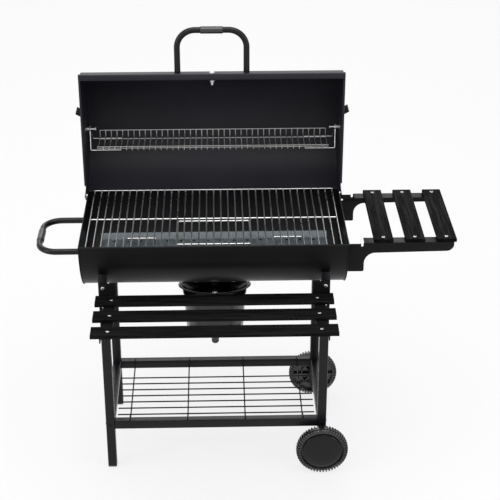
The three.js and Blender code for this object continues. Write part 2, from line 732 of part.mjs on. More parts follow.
// ---------- front shelf ----------
const shelfReach = FRONT_SLAT_Y - (FRONT_SLATS - 1) * FRONT_SLAT_PITCH - FRONT_SLAT_W;
function shelfBracket(side) {
  const top = FRONT_SLAT_Z - GAP;
  const outer = 297;
  const inner = 265;
  const back = -LEG_Y - LEG / 2 - GAP;
  const tip = shelfReach + 3;
  const web = alongX(outline([
    [back, top - 42], [back, top], [tip, top], [tip, top - 14], [tip + 6, top - 18]]), outer - BRACKET_T, outer);
  const flange = block(inner, tip, top - BRACKET_T, outer, back, top);
  const mount = block(inner, back - BRACKET_T, top - 42, LEG_IN_X + LEG - 1, back, FRONT_SLAT_Z + 44);
  const whole = join(web, flange, mount);
  return side > 0 ? whole : mirrorX(whole);
}
function mirrorX(geometry) {
  const body = solid(geometry).mirror([1, 0, 0]);
  return skin(body);
}
place(grill, 'shelf_bracket_left', shelfBracket(-1), blackPaint());
place(grill, 'shelf_bracket_right', shelfBracket(1), blackPaint());
for (let i = 0; i < FRONT_SLATS; i += 1) {
  const back = FRONT_SLAT_Y - i * FRONT_SLAT_PITCH;
  const slat = block(-FRONT_SLAT_HALF, back - FRONT_SLAT_W, FRONT_SLAT_Z, FRONT_SLAT_HALF, back,
    FRONT_SLAT_Z + FRONT_SLAT_T);
  place(grill, `shelf_slat_${i + 1}`, slat, blackWood());
}

// ---------- side table ----------
const bracketEnd = 644;
function tableBracket(side) {
  const x0 = DRUM_HALF + GAP;
  const top = TABLE_Z - GAP;
  const face = TABLE_HALF_Y - 0.5;
  const sorted = (a, b) => (a < b ? [a, b] : [b, a]);
  const [y0, y1] = sorted(side * face, side * (face - BRACKET_T));
  const [f0, f1] = sorted(side * face, side * (face - 32));
  const web = alongY(outline([
    [x0, top - 86], [403, top - 86], [403, top - 56], [427, top - 34], [624, top - 27],
    [638, top - 21], [bracketEnd, top - 10], [bracketEnd, top], [400, top],
    [400, top - 8], [398, top - 12], [396, top - 12], [394, top - 8], [394, top - 3], [x0, top - 3]]), y0, y1);
  const flange = block(402, f0, top - BRACKET_T, bracketEnd, f1, top);
  const mount = block(x0, f0, top - 86, x0 + BRACKET_T, f1, top - 3);
  return join(web, flange, mount);
}
place(grill, 'table_bracket_front', tableBracket(-1), blackPaint());
place(grill, 'table_bracket_rear', tableBracket(1), blackPaint());
const screwR = 5;
const screwT = 2.5;
const screwSeatT = 3;
const screwY = TABLE_HALF_Y - 16;
for (let i = 0; i < TABLE_SLATS; i += 1) {
  const x = TABLE_X + i * TABLE_PITCH;
  const mid = x + TABLE_SLAT_W / 2;
  const top = TABLE_Z + TABLE_T;
  const seat = (sy) => rod('z', screwR + 0.4, -screwSeatT, 1, 10).translate(mid, sy * screwY, top);
  const slat = block(x, -TABLE_HALF_Y, TABLE_Z, x + TABLE_SLAT_W, TABLE_HALF_Y, top);
  place(grill, `table_slat_${i + 1}`, cut(slat, seat(-1), seat(1)), blackWood());
}

// ---------- screws, sunk into the slats so that a plate lies flat ----------
const screwHead = () => rod('z', screwR, 0, screwT, 10);
for (let i = 0; i < TABLE_SLATS; i += 1) {
  for (const [label, sy] of [['front', -1], ['rear', 1]]) {
    const x = TABLE_X + i * TABLE_PITCH + TABLE_SLAT_W / 2;
    const screw = place(grill, `table_screw_${i + 1}_${label}`, screwHead(), zinc());
    screw.position.set(x, sy * screwY, TABLE_Z + TABLE_T - screwSeatT + GAP);
  }
}

// The origin goes to the middle of the floor space that the whole trolley covers.
const reach = new THREE.Box3().setFromObject(grill);
const model = new THREE.Group();
model.name = 'grill_trolley';
grill.position.set(-(reach.min.x + reach.max.x) / 2, -(reach.min.y + reach.max.y) / 2, -reach.min.z);
model.add(grill);

export default model;
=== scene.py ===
# %% [markdown]
# # A barrel charcoal grill on its trolley
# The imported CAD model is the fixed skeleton: it says where every piece is and how it moves.
# Blender's job is the look, so this lesson rebuilds each piece over its CAD node, finer and rounder,
# and gives it a finish. Each step first says what the piece is on the real grill.

# %% Load the frame
import math
import bmesh
import bpy
from mathutils import Matrix, Quaternion, Vector


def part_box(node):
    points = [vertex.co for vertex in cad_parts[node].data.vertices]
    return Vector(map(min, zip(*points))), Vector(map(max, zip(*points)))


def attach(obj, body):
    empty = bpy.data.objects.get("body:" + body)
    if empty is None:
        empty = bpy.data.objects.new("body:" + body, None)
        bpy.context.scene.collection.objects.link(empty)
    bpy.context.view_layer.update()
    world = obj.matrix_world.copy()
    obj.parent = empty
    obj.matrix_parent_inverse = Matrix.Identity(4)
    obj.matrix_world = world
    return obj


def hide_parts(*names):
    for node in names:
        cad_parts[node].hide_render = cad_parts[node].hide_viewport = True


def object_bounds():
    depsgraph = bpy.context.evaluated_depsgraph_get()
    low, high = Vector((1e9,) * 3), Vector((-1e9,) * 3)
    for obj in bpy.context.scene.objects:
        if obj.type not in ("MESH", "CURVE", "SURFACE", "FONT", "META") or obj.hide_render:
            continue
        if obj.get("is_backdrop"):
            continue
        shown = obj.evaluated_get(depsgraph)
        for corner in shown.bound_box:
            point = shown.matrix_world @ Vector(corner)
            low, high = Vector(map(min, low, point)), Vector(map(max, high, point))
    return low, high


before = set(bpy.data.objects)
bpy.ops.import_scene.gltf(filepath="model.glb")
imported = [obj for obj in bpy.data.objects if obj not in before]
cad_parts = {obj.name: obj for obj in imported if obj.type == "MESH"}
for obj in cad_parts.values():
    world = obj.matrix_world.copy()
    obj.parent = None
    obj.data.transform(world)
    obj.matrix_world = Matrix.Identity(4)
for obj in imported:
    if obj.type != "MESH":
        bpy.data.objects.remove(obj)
cad_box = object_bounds()

# %% [markdown]
# ## The camera
# It stands about 3.7 m away, well above the lid, and looks down at the grill with a long lens,
# so that the drum's ends stay almost parallel. The slight turn to the right brings in the side table.

# %% Camera
rim_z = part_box("firebox_shell")[1].z
drum_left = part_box("firebox_end_left")[0].x
drum_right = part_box("firebox_end_right")[1].x
mid_x = (drum_left + drum_right) / 2
drum_y = (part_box("firebox_shell")[0].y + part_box("firebox_shell")[1].y) / 2
CAMERA_BACK = 3.418
CAMERA_UP = 2.389
CAMERA_SIDE = 0.012
LOOK_DOWN = 27.48
LOOK_RIGHT = 1.48
LENS_MM = 99.1


def put_in_scene(name, data):
    made = bpy.data.objects.new(name, data)
    bpy.context.scene.collection.objects.link(made)
    return made


camera_data = bpy.data.cameras.new("grill_camera")
camera_data.lens = LENS_MM
camera_data.sensor_width = 36
camera = put_in_scene("grill_camera", camera_data)
camera.location = (mid_x + CAMERA_SIDE, drum_y - CAMERA_BACK, CAMERA_UP)
camera.rotation_euler = (math.radians(90 - LOOK_DOWN), 0, math.radians(-LOOK_RIGHT))
bpy.context.scene.camera = camera
print("camera at", tuple(round(v, 3) for v in camera.location))

# %% [markdown]
# ## Floor and light
# Black paint shows only what it reflects, so the room matters more than the lamps:
# an even bright room, a wide soft box above and weaker ones behind and at the sides give long calm highlights.

# %% Floor, room and lamps
floor_data = bpy.data.meshes.new("studio_floor")
floor_data.from_pydata([(-20, -20, 0), (20, -20, 0), (20, 20, 0), (-20, 20, 0)], [], [(0, 1, 2, 3)])
floor = put_in_scene("studio_floor", floor_data)
floor.location.z = -0.0005
floor_paint = bpy.data.materials.new("floor_white")
floor_paint.use_nodes = True
floor_look = floor_paint.node_tree.nodes["Principled BSDF"].inputs
for label, value in (("Base Color", (0.12, 0.12, 0.12, 1)), ("Roughness", 0.9),
                     ("Emission Color", (1, 1, 1, 1)), ("Emission Strength", 0.775)):
    floor_look[label].default_value = value
floor_data.materials.append(floor_paint)
floor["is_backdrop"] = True

world = bpy.data.worlds.new("studio_room")
world.use_nodes = True
room_light = world.node_tree.nodes["Background"].inputs
room_light["Color"].default_value = (1, 1, 1, 1)
room_light["Strength"].default_value = 0.93
bpy.context.scene.world = world
bpy.context.scene.view_settings.view_transform = "Standard"


def soft_box(name, where, aim, size, watts):
    lamp_data = bpy.data.lights.new(name, "AREA")
    lamp_data.shape = "RECTANGLE"
    lamp_data.size, lamp_data.size_y = size
    lamp_data.energy = watts
    lamp = put_in_scene(name, lamp_data)
    lamp.location = where
    lamp.rotation_euler = (Vector(aim) - Vector(where)).to_track_quat("-Z", "Y").to_euler()


soft_box("top_box", (0, -0.4, 3.4), (0, 0, 0.6), (3.4, 2.4), 75)
soft_box("left_box", (-2.8, -1.4, 1.7), (0, 0, 0.6), (1.0, 1.8), 26)
soft_box("rear_box", (0, 4.4, 3.3), (0, 0, 0.9), (3.6, 1.0), 40)
soft_box("right_box", (2.8, -1.6, 1.5), (-0.3, 0.2, 0.95), (1.0, 1.6), 16)
print("floor, room and four soft boxes")

# %% [markdown]
# ## Shared surface effects
# Five effects come back in most finishes, so each is a shader node group with named dials:
# the orange peel of sprayed paint, fine rubbing marks, wood grain, galvanised spangle and moulding texture.
# Each group puts out a mask for colour or roughness, and all but the rub marks also a height for the bump.

# %% A small kit for shader groups
def shader_group(name, dials, results):
    group = bpy.data.node_groups.new(name, "ShaderNodeTree")
    for label, value in dials:
        socket = group.interface.new_socket(name=label, in_out="INPUT", socket_type="NodeSocketFloat")
        socket.default_value = value
    for label in results:
        group.interface.new_socket(name=label, in_out="OUTPUT", socket_type="NodeSocketFloat")
    return group, group.nodes.new("NodeGroupInput"), group.nodes.new("NodeGroupOutput")


def put_out(group, result, **values):
    for label, value in values.items():
        group.links.new(value, result.inputs[label])


def object_point(tree, stretch=(1, 1, 1)):
    point = tree.nodes.new("ShaderNodeTexCoord")
    place = tree.nodes.new("ShaderNodeMapping")
    place.inputs["Scale"].default_value = stretch
    tree.links.new(point.outputs["Object"], place.inputs["Vector"])
    return place.outputs["Vector"]


def noise(tree, vector, scale, detail=3.0, rough=0.55):
    node = tree.nodes.new("ShaderNodeTexNoise")
    node.inputs["Detail"].default_value = detail
    node.inputs["Roughness"].default_value = rough
    tree.links.new(vector, node.inputs["Vector"])
    if isinstance(scale, (int, float)):
        node.inputs["Scale"].default_value = scale
    else:
        tree.links.new(scale, node.inputs["Scale"])
    return node.outputs["Fac"]


def remap(tree, value, *limits):
    node = tree.nodes.new("ShaderNodeMapRange")
    for label, limit in zip(("From Min", "From Max", "To Min", "To Max"), limits):
        node.inputs[label].default_value = limit
    tree.links.new(value, node.inputs["Value"])
    return node.outputs["Result"]


def combine(tree, kind, a, b):
    node = tree.nodes.new("ShaderNodeMath")
    node.operation = kind
    for slot_number, value in enumerate((a, b)):
        if isinstance(value, (int, float)):
            node.inputs[slot_number].default_value = value
        else:
            tree.links.new(value, node.inputs[slot_number])
    return node.outputs["Value"]


# %% The five effects
def make_orange_peel():
    group, dial, result = shader_group("Orange peel", [("Grain", 420.0), ("Patch", 6.0)], ["Height", "Patches"])
    point = object_point(group)
    fine = noise(group, point, dial.outputs["Grain"], 2.0)
    patches = noise(group, point, dial.outputs["Patch"], 4.0)
    put_out(group, result, Height=fine, Patches=remap(group, patches, 0.3, 0.7, 0, 1))
    return group


def make_rub_marks():
    group, dial, result = shader_group("Rub marks", [("Length", 14.0), ("Amount", 0.5)], ["Mask"])
    streaks = noise(group, object_point(group, (1, 7, 11)), dial.outputs["Length"], 6.0, 0.7)
    cross = noise(group, object_point(group, (9, 1.3, 2)), dial.outputs["Length"], 6.0, 0.7)
    both = combine(group, "MAXIMUM", streaks, cross)
    mask = remap(group, both, 0.6, 0.78, 0, 1)
    put_out(group, result, Mask=combine(group, "MULTIPLY", mask, dial.outputs["Amount"]))
    return group


def make_wood_grain(name, stretch):
    group, dial, result = shader_group(name, [("Rings", 16.0), ("Fibre", 90.0)], ["Height", "Streaks"])
    wide = noise(group, object_point(group, stretch), dial.outputs["Rings"], 5.0, 0.6)
    fine = noise(group, object_point(group, stretch), dial.outputs["Fibre"], 4.0, 0.7)
    rings = combine(group, "SINE", combine(group, "MULTIPLY", wide, 24.0), 0)
    lines = remap(group, rings, -1, 1, 0, 1)
    mixed = combine(group, "ADD", combine(group, "MULTIPLY", lines, 0.45), combine(group, "MULTIPLY", fine, 0.75))
    put_out(group, result, Height=mixed, Streaks=remap(group, mixed, 0.35, 0.85, 0, 1))
    return group


def make_spangle():
    group, dial, result = shader_group("Spangle", [("Crystal", 60.0)], ["Facets", "Height"])
    cells = group.nodes.new("ShaderNodeTexVoronoi")
    group.links.new(object_point(group), cells.inputs["Vector"])
    group.links.new(dial.outputs["Crystal"], cells.inputs["Scale"])
    tone = group.nodes.new("ShaderNodeSeparateColor")
    group.links.new(cells.outputs["Color"], tone.inputs["Color"])
    put_out(group, result, Facets=tone.outputs["Red"], Height=cells.outputs["Distance"])
    return group


def make_mould_texture():
    group, dial, result = shader_group("Mould texture", [("Grain", 900.0), ("Flow", 9.0)], ["Height", "Flow"])
    point = object_point(group)
    grain = noise(group, point, dial.outputs["Grain"], 2.0)
    flow = noise(group, point, dial.outputs["Flow"], 5.0, 0.6)
    put_out(group, result, Height=grain, Flow=remap(group, flow, 0.3, 0.7, 0, 1))
    return group


ORANGE_PEEL = make_orange_peel()
RUB_MARKS = make_rub_marks()
GRAIN_ALONG_X = make_wood_grain("Wood grain along X", (1, 22, 22))
GRAIN_ALONG_Y = make_wood_grain("Wood grain along Y", (22, 1, 22))
SPANGLE = make_spangle()
MOULD_TEXTURE = make_mould_texture()
print("shader groups:", sorted(g.name for g in bpy.data.node_groups))

# %% [markdown]
# ## Finishes
# One recipe makes every finish: a Principled shader in the material itself, a colour that wanders between
# two close tones, a roughness that follows the same masks, and a bump from the effect's height.

# %% The recipe
def effect(tree, group, **dials):
    node = tree.nodes.new("ShaderNodeGroup")
    node.node_tree = group
    for label, value in dials.items():
        node.inputs[label].default_value = value
    return node


def two_tones(tree, mask, dark, light):
    node = tree.nodes.new("ShaderNodeMix")
    node.data_type = "RGBA"
    tree.links.new(mask, node.inputs["Factor"])
    node.inputs["A"].default_value = (*dark, 1)
    node.inputs["B"].default_value = (*light, 1)
    return node.outputs["Result"]


def finish(name, group, height, mask, dials, tones, rough, bump, metallic=0.0, specular=0.5, coat=0.0,
           coat_rough=0.1, marks=0.0, mark_rough=0.2):
    material = bpy.data.materials.new(name)
    material.use_nodes = True
    tree = material.node_tree
    shader = tree.nodes["Principled BSDF"]
    for label, value in (("Metallic", metallic), ("Specular IOR Level", specular),
                         ("Coat Weight", coat), ("Coat Roughness", coat_rough)):
        shader.inputs[label].default_value = value
    skin = effect(tree, group, **dials)
    tree.links.new(two_tones(tree, skin.outputs[mask], *tones), shader.inputs["Base Color"])
    roughness = remap(tree, skin.outputs[mask], 0, 1, *rough)
    if marks:
        rubbed = effect(tree, RUB_MARKS, Amount=marks)
        roughness = combine(tree, "ADD", roughness, combine(tree, "MULTIPLY", rubbed.outputs["Mask"], mark_rough))
    tree.links.new(roughness, shader.inputs["Roughness"])
    relief = tree.nodes.new("ShaderNodeBump")
    relief.inputs["Strength"].default_value = bump[0]
    relief.inputs["Distance"].default_value = bump[1]
    tree.links.new(skin.outputs[height], relief.inputs["Height"])
    tree.links.new(relief.outputs["Normal"], shader.inputs["Normal"])
    return material


# %% The finishes
def painted(name, grain, patch, tones, rough, bump, **more):
    return finish(name, ORANGE_PEEL, "Height", "Patches", {"Grain": grain, "Patch": patch}, tones, rough, bump, **more)


def stained(name, grain_group, light_tone, rough, specular):
    return finish(name, grain_group, "Height", "Streaks", {"Rings": 4.0, "Fibre": 30.0},
                  ((0.0008, 0.0008, 0.0008), light_tone), rough, (0.5, 0.0006), specular=specular)


def moulded(name, grain, flow, tones, rough, bump, **more):
    return finish(name, MOULD_TEXTURE, "Height", "Flow", {"Grain": grain, "Flow": flow}, tones, rough, bump, **more)


satin_black = painted("satin_black_paint", 420.0, 5.0, ((0.0044, 0.0044, 0.0050), (0.0066, 0.0066, 0.0074)),
                      (0.30, 0.40), (0.12, 0.0003), specular=0.10, marks=0.4, mark_rough=0.12)
# The lid wears the drum's black paint, but this copy's tones are two to three times lighter and bluer: the extra
# lightness is painted light for the dim hollow of the lid.
lid_black_painted_light = painted("lid_inside_paint_painted_light", 300.0, 4.0, ((0.0092, 0.0089, 0.0130), (0.0140, 0.0136, 0.0188)),
                    (0.40, 0.52), (0.15, 0.0004), specular=0.24, marks=0.3, mark_rough=0.12)
wire_black = painted("powder_coated_wire", 700.0, 12.0, ((0.004, 0.004, 0.0046), (0.007, 0.007, 0.0078)),
                     (0.32, 0.44), (0.1, 0.0002), specular=0.15)
tube_black = painted("tube_paint", 80.0, 8.0, ((0.0040, 0.0040, 0.0050), (0.0064, 0.0064, 0.0078)),
                     (0.26, 0.36), (0.10, 0.0003), specular=0.22)
enamel_black = painted("gloss_black_enamel", 60.0, 9.0, ((0.0045, 0.0045, 0.0075), (0.0065, 0.0065, 0.0100)),
                       (0.14, 0.22), (0.05, 0.0005), specular=0.15, coat=0.3, coat_rough=0.05)
bucket_black = painted("bucket_enamel", 60.0, 9.0, ((0.0045, 0.0045, 0.0070), (0.0065, 0.0065, 0.0095)),
                       (0.26, 0.36), (0.03, 0.0004), specular=0.2, coat=0.6, coat_rough=0.22)
bright_wire = painted("plated_wire", 500.0, 5.0, ((0.62, 0.61, 0.60), (0.78, 0.77, 0.76)),
                      (0.24, 0.34), (0.02, 0.0001), metallic=1.0)
galvanised = finish("galvanised_sheet", SPANGLE, "Height", "Facets", {"Crystal": 70.0},
                    ((0.070, 0.086, 0.097), (0.112, 0.132, 0.144)), (0.40, 0.54), (0.1, 0.0003), metallic=0.3)
zinc_plate = painted("zinc_plate", 600.0, 60.0, ((0.45, 0.45, 0.46), (0.66, 0.66, 0.66)),
                     (0.22, 0.36), (0.1, 0.0002), metallic=1.0, marks=0.6)
stained_wood_x = stained("black_stained_wood_x", GRAIN_ALONG_X, (0.0066, 0.0065, 0.0063), (0.62, 0.46), 0.06)
# The side table's copy of the stain has a darker light tone than the front shelf's: that darkening is painted shade
# against the light falling on the table's upward faces.
table_wood_painted_shade = stained("black_stained_wood_y", GRAIN_ALONG_Y, (0.0048, 0.0047, 0.0046), (0.66, 0.48), 0.03)
moulded_black = moulded("moulded_black_plastic", 900.0, 8.0, ((0.006, 0.006, 0.0065), (0.011, 0.011, 0.0115)),
                        (0.20, 0.30), (0.15, 0.0002), specular=0.7)
gloss_black = moulded("gloss_black_plastic", 90.0, 14.0, ((0.0045, 0.0045, 0.0050), (0.0070, 0.0070, 0.0076)),
                      (0.16, 0.24), (0.04, 0.0003), specular=0.16, coat=0.12, coat_rough=0.05)

# %% [markdown]
# ## Shape helpers
# All sizes below are in millimetres, as on a workshop drawing, and `piece` sets them in the frame.
# Nearly every piece is one of five shapes: a loft between rings, a turned profile, a bent wire or tube,
# a flat plate with holes, or a board. Each helper welds its doubles and turns its faces outwards.

# %% From points to a piece
ORIGIN = Vector((mid_x, drum_y, 0))
SIDES = (("left", -1), ("right", 1))
ENDS = (("front", -1), ("rear", 1))


def metres(v):
    return Vector(v) / 1000


def at(p):
    return ORIGIN + metres(p)


def soften(mesh, sharp):
    mesh.shade_smooth()
    mesh.set_sharp_from_angle(angle=math.radians(sharp))


def piece(name, points, faces, sharp=40):
    """Points are in millimetres, measured from the floor under the middle of the drum."""
    mesh = bpy.data.meshes.new(name)
    mesh.from_pydata([tuple(at(p)) for p in points], [], faces)
    work = bmesh.new()
    work.from_mesh(mesh)
    bmesh.ops.remove_doubles(work, verts=work.verts, dist=1e-6)
    bmesh.ops.recalc_face_normals(work, faces=work.faces)
    work.to_mesh(mesh)
    work.free()
    soften(mesh, sharp)
    return put_in_scene(name, mesh)


def bands(ring_count, count, spans, steps):
    """Four-sided faces between rings of `count` points that follow each other in one list."""
    faces = []
    for k in range(spans):
        near, far = k * count, (k + 1) % ring_count * count
        for i in range(steps):
            j = (i + 1) % count
            faces.append((near + i, near + j, far + j, far + i))
    return faces


def loft(name, rings, paired=False, sharp=40, loop=False):
    """A `paired` ring runs there and back along a sheet, so its caps are a ladder of faces and not one polygon."""
    count = len(rings[0])
    faces = bands(len(rings), count, len(rings) if loop else len(rings) - 1, count)
    for start in () if loop else (0, (len(rings) - 1) * count):
        if paired:
            faces += [(start + i, start + i + 1, start + count - 2 - i, start + count - 1 - i)
                      for i in range(count // 2 - 1)]
        else:
            faces.append(tuple(range(start, start + count)))
    return piece(name, [p for ring in rings for p in ring], faces, sharp)


def turn(name, profile, centre, axis, steps=64, closed=False, sharp=35):
    """Spins a profile of (distance from the axis, height along it); a `closed` profile is a ring of its own."""
    along = Vector(axis).normalized()
    side = along.orthogonal().normalized()
    up = along.cross(side)
    points = []
    for k in range(steps):
        a = 2 * math.pi * k / steps
        out = side * math.cos(a) + up * math.sin(a)
        points += [Vector(centre) + out * r + along * h for r, h in profile]
    count = len(profile)
    return piece(name, points, bands(steps, count, steps, count if closed else count - 1), sharp)


# %% Bent wires and tubes
def rounded_path(corners, radius, steps=8, loop=False):
    corners = [Vector(c) for c in corners]
    count = len(corners)
    path = []
    for i, here in enumerate(corners):
        if not loop and i in (0, count - 1):
            path.append(here)
            continue
        back = (corners[i - 1] - here).normalized()
        ahead = (corners[(i + 1) % count] - here).normalized()
        half = back.angle(ahead) / 2
        reach = radius / math.tan(half)
        heart = here + (back + ahead).normalized() * (radius / math.sin(half))
        start = here + back * reach - heart
        turn_by = start.rotation_difference(here + ahead * reach - heart)
        for k in range(steps + 1):
            path.append(heart + Quaternion().slerp(turn_by, k / steps) @ start)
    return path


def tube(name, path, radius, sides=12, loop=False):
    path = [Vector(p) for p in path]
    count = len(path)
    rings = []
    side = None
    before = None
    for i, here in enumerate(path):
        ahead = path[(i + 1) % count] if loop or i < count - 1 else here
        back = path[i - 1] if loop or i > 0 else here
        along = (ahead - back).normalized()
        side = along.orthogonal().normalized() if side is None else before.rotation_difference(along) @ side
        before = along
        up = along.cross(side)
        angles = [2 * math.pi * k / sides for k in range(sides)]
        rings.append([here + (side * math.cos(a) + up * math.sin(a)) * radius for a in angles])
    return loft(name, rings, loop=loop, sharp=50)


# %% Flat plates, boards and joining
FACING = {
    "x": Matrix(((0, 0, 1, 0), (1, 0, 0, 0), (0, 1, 0, 0), (0, 0, 0, 1))),
    "y": Matrix(((1, 0, 0, 0), (0, 0, 1, 0), (0, 1, 0, 0), (0, 0, 0, 1))),
    "z": Matrix.Identity(4),
}


def facing(axis, where):
    shift = {"x": (where, 0, 0), "y": (0, where, 0), "z": (0, 0, where)}[axis]
    return Matrix.Translation(shift) @ FACING[axis]


def plate(name, outlines, thickness, axis, where, edge=0.3):
    """Outlines in (u, v): first the plate, then its holes. Its middle plane is at `where` on the axis."""
    flat = bpy.data.curves.new(name, "CURVE")
    flat.dimensions = "2D"
    flat.fill_mode = "BOTH"
    flat.extrude = thickness / 2 - edge
    flat.bevel_depth = edge
    flat.bevel_resolution = 1
    flat.offset = -edge
    for outline in outlines:
        line = flat.splines.new("POLY")
        line.points.add(len(outline) - 1)
        for point, (u, v) in zip(line.points, outline):
            point.co = (u, v, 0, 1)
        line.use_cyclic_u = True
    holder = put_in_scene(name, flat)
    seen = bpy.context.evaluated_depsgraph_get()
    mesh = bpy.data.meshes.new_from_object(holder.evaluated_get(seen))
    points = [facing(axis, where) @ v.co for v in mesh.vertices]
    faces = [tuple(p.vertices) for p in mesh.polygons]
    bpy.data.objects.remove(holder)
    return piece(name, points, faces, sharp=30)


def arc(u, v, radius, start, end, steps):
    return [(u + radius * math.cos(math.radians(start + (end - start) * k / steps)),
             v + radius * math.sin(math.radians(start + (end - start) * k / steps))) for k in range(steps + 1)]


def circle(u, v, radius, steps=28):
    return arc(u, v, radius, 0, 360, steps)[:-1]


def rounded_outline(corners, radius, steps=5):
    return [(p.x, p.y) for p in rounded_path([(u, v, 0) for u, v in corners], radius, steps, loop=True)]


def board(name, low, high, round_edge):
    (x0, y0, z0), (x1, y1, z1) = low, high
    ring = rounded_outline([(x0, z0), (x1, z0), (x1, z1), (x0, z1)], round_edge, 3)
    return loft(name, [[(u, y, v) for u, v in ring] for y in (y0, y1)], sharp=50)


def joined(name, parts):
    work = bmesh.new()
    for part in parts:
        work.from_mesh(part.data)
        bpy.data.objects.remove(part)
    mesh = bpy.data.meshes.new(name)
    work.to_mesh(mesh)
    work.free()
    return put_in_scene(name, mesh)


def settle(made, body, material, *nodes):
    """Paints a piece, lets it ride on its body and hides the CAD nodes that it stands for."""
    made.data.materials.clear()
    made.data.materials.append(material)
    for face in made.data.polygons:
        face.material_index = 0
    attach(made, body)
    if nodes:
        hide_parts(*nodes)
    print(made.name, "-", len(made.data.polygons), "faces, stands for", list(nodes) or "trim")
    return made


def bake(made, name=None):
    """Turns an object with live modifiers into one plain mesh object."""
    seen = bpy.context.evaluated_depsgraph_get()
    mesh = bpy.data.meshes.new_from_object(made.evaluated_get(seen))
    label = name or made.name
    bpy.data.objects.remove(made)
    mesh.name = label
    return put_in_scene(label, mesh)


print("helpers ready; the drum's middle is at", tuple(round(v, 4) for v in ORIGIN))

# %% [markdown]
# ## The drum
# The drum is half of a rolled steel barrel: thin sheet, a rolled rim along both long edges and a flat
# pressed end welded in at each side. A thin sheet is one profile, there and back, lofted along X.
# The ash hole in the bottom is cut afterwards with a Boolean, which leaves the curve as it is.

# %% The rolled shell
DRUM_R = 180
RIM = rim_z * 1000
END_X = (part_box("firebox_end_right")[0].x - mid_x) * 1000
DRUM_WALL_X = 358.75


def sheet(name, x0, x1, y, z, outer, thick, start, end, steps=72):
    outside = arc(y, z, outer, start, end, steps)
    inside = arc(y, z, outer - thick, end, start, steps)
    return loft(name, [[(x, u, v) for u, v in outside + inside] for x in (x0, x1)], paired=True)


def bead(name, x0, x1, y, z, radius):
    return loft(name, [[(x, u, v) for u, v in circle(y, z, radius, 16)] for x in (x0, x1)])


shell = sheet("drum_sheet", -END_X, END_X, 0, RIM, DRUM_R, 1.8, 181, 359)
ash_cutter = turn("ash_cutter", [(0, -50), (56, -50), (56, 50), (0, 50)], (0, 0, RIM - DRUM_R), (0, 0, 1), 56)
hole = shell.modifiers.new("ash_hole", "BOOLEAN")
hole.operation = "DIFFERENCE"
hole.solver = "EXACT"
hole.object = ash_cutter
shell = bake(shell)
bpy.data.objects.remove(ash_cutter)
soften(shell.data, 40)
drum = joined("drum_shell", [shell] + [bead(f"rim_{s}", -END_X, END_X, s * 179, RIM - 3, 2.9) for s in (-1, 1)])
settle(drum, "trolley", satin_black, "firebox_shell")

# %% [markdown]
# ### The drum's ends
# Each end is a flat half disc with a folded edge that grips the sheet. A filled 2D curve makes such a plate
# in one go, and its bevel gives the soft cut edge. The fold is a thin tube bent along the same arc.

# %% Ends with their folded seam
def drum_end(side, out):
    x = out * DRUM_WALL_X
    outline = [(-182, RIM - 0.3)] + arc(0, RIM - 0.3, 182, 181, 359, 72) + [(182, RIM - 0.3)]
    wall = plate(f"end_{side}", [outline], 2.4, "x", x, 0.6)
    arc_line = [(x - out * 0.3, u, v) for u, v in arc(0, RIM, 180.6, 181.5, 358.5, 72)]
    fold = tube(f"fold_{side}", arc_line, 1.5, 10)
    top = tube(f"fold_top_{side}", [(x, -178, RIM - 2), (x, 178, RIM - 2)], 1.6, 10)
    return joined(f"drum_end_{side}", [wall, fold, top])


for side, out in SIDES:
    settle(drum_end(side, out), "trolley", satin_black, f"firebox_end_{side}")

# %% [markdown]
# ## The lid
# The lid is the other half of the barrel. It is hinged behind the rim and now stands straight up, so that
# its hollow faces forward. Its free edge, now at the top, is folded over and turned back by about 14 mm;
# the sides end in flat plates, each with an ear round the hinge pin and an air vent.

# %% The lid's shell
LID_R = 186
LID_Y, LID_Z = 186, 874
LID_X = 364.7
LIP_X = 370.6
LID_WALL_X = 366.25
HINGE_Y, HINGE_Z = 171, 703
VENT_Y, VENT_RING, VENT_HOLE = 256, 24, 8
LIP_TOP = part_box("lid_shell")[1].z * 1000
lid_skin = sheet("lid_sheet", -LID_X, LID_X, LID_Y, LID_Z, LID_R, 1.8, -90, 88, 80)
lip = rounded_outline([(186.2, LIP_TOP - 7), (186.2, LIP_TOP), (196.5, LIP_TOP), (196.5, LIP_TOP - 7)], 3.2, 6)
lid_lip = loft("lid_lip", [[(x, u, v) for u, v in lip] for x in (-LIP_X, LIP_X)])
turn_back = rounded_outline([(186.1, LIP_TOP - 17), (186.1, LIP_TOP - 4), (187.9, LIP_TOP - 4),
                             (187.9, LIP_TOP - 17)], 0.8, 3)
lid_flange = loft("lid_flange", [[(x, u, v) for u, v in turn_back] for x in (-LIP_X, LIP_X)])
low_bead = bead("lid_low_bead", -LID_X, LID_X, 188.6, LID_Z - LID_R + 2.6, 2.5)
lid = joined("lid_shell", [lid_skin, lid_lip, lid_flange, low_bead])
# The lid's paint is the lighter copy, with painted light in its colour.
settle(lid, "lid", lid_black_painted_light, "lid_shell")


# %% The lid's ends
def vent_holes():
    return [circle(VENT_Y + VENT_RING * math.cos(a), LID_Z + VENT_RING * math.sin(a), VENT_HOLE, 24)
            for a in (math.radians(45 + 90 * i) for i in range(4))]


def lid_end(side, out):
    x = out * LID_WALL_X
    ear = [(186, 721), (HINGE_Y, 715)] + arc(HINGE_Y, HINGE_Z, 12, 90, 270, 18)[1:] + [(186, 691), (186, 688)]
    outline = ear + arc(LID_Y, LID_Z, LID_R, -90, 90, 72)[1:]
    wall = plate(f"lid_wall_{side}", [outline] + vent_holes(), 2.4, "x", x, 0.5)
    seam = tube(f"lid_seam_{side}", [(x - out * 0.5, u, v) for u, v in arc(LID_Y, LID_Z, 184.3, -88, 89, 72)], 1.6, 10)
    edge = rounded_outline([(366.2, 186.3), (371, 186.3), (371, 194.8), (366.2, 194.8)], 2.0, 4)
    rail = loft(f"lid_edge_{side}", [[(out * u, v, z) for u, v in edge] for z in (727, LIP_TOP - 3)])
    return joined(f"lid_end_{side}", [wall, seam, rail])


for side, out in SIDES:
    settle(lid_end(side, out), "lid", lid_black_painted_light, f"lid_end_{side}")

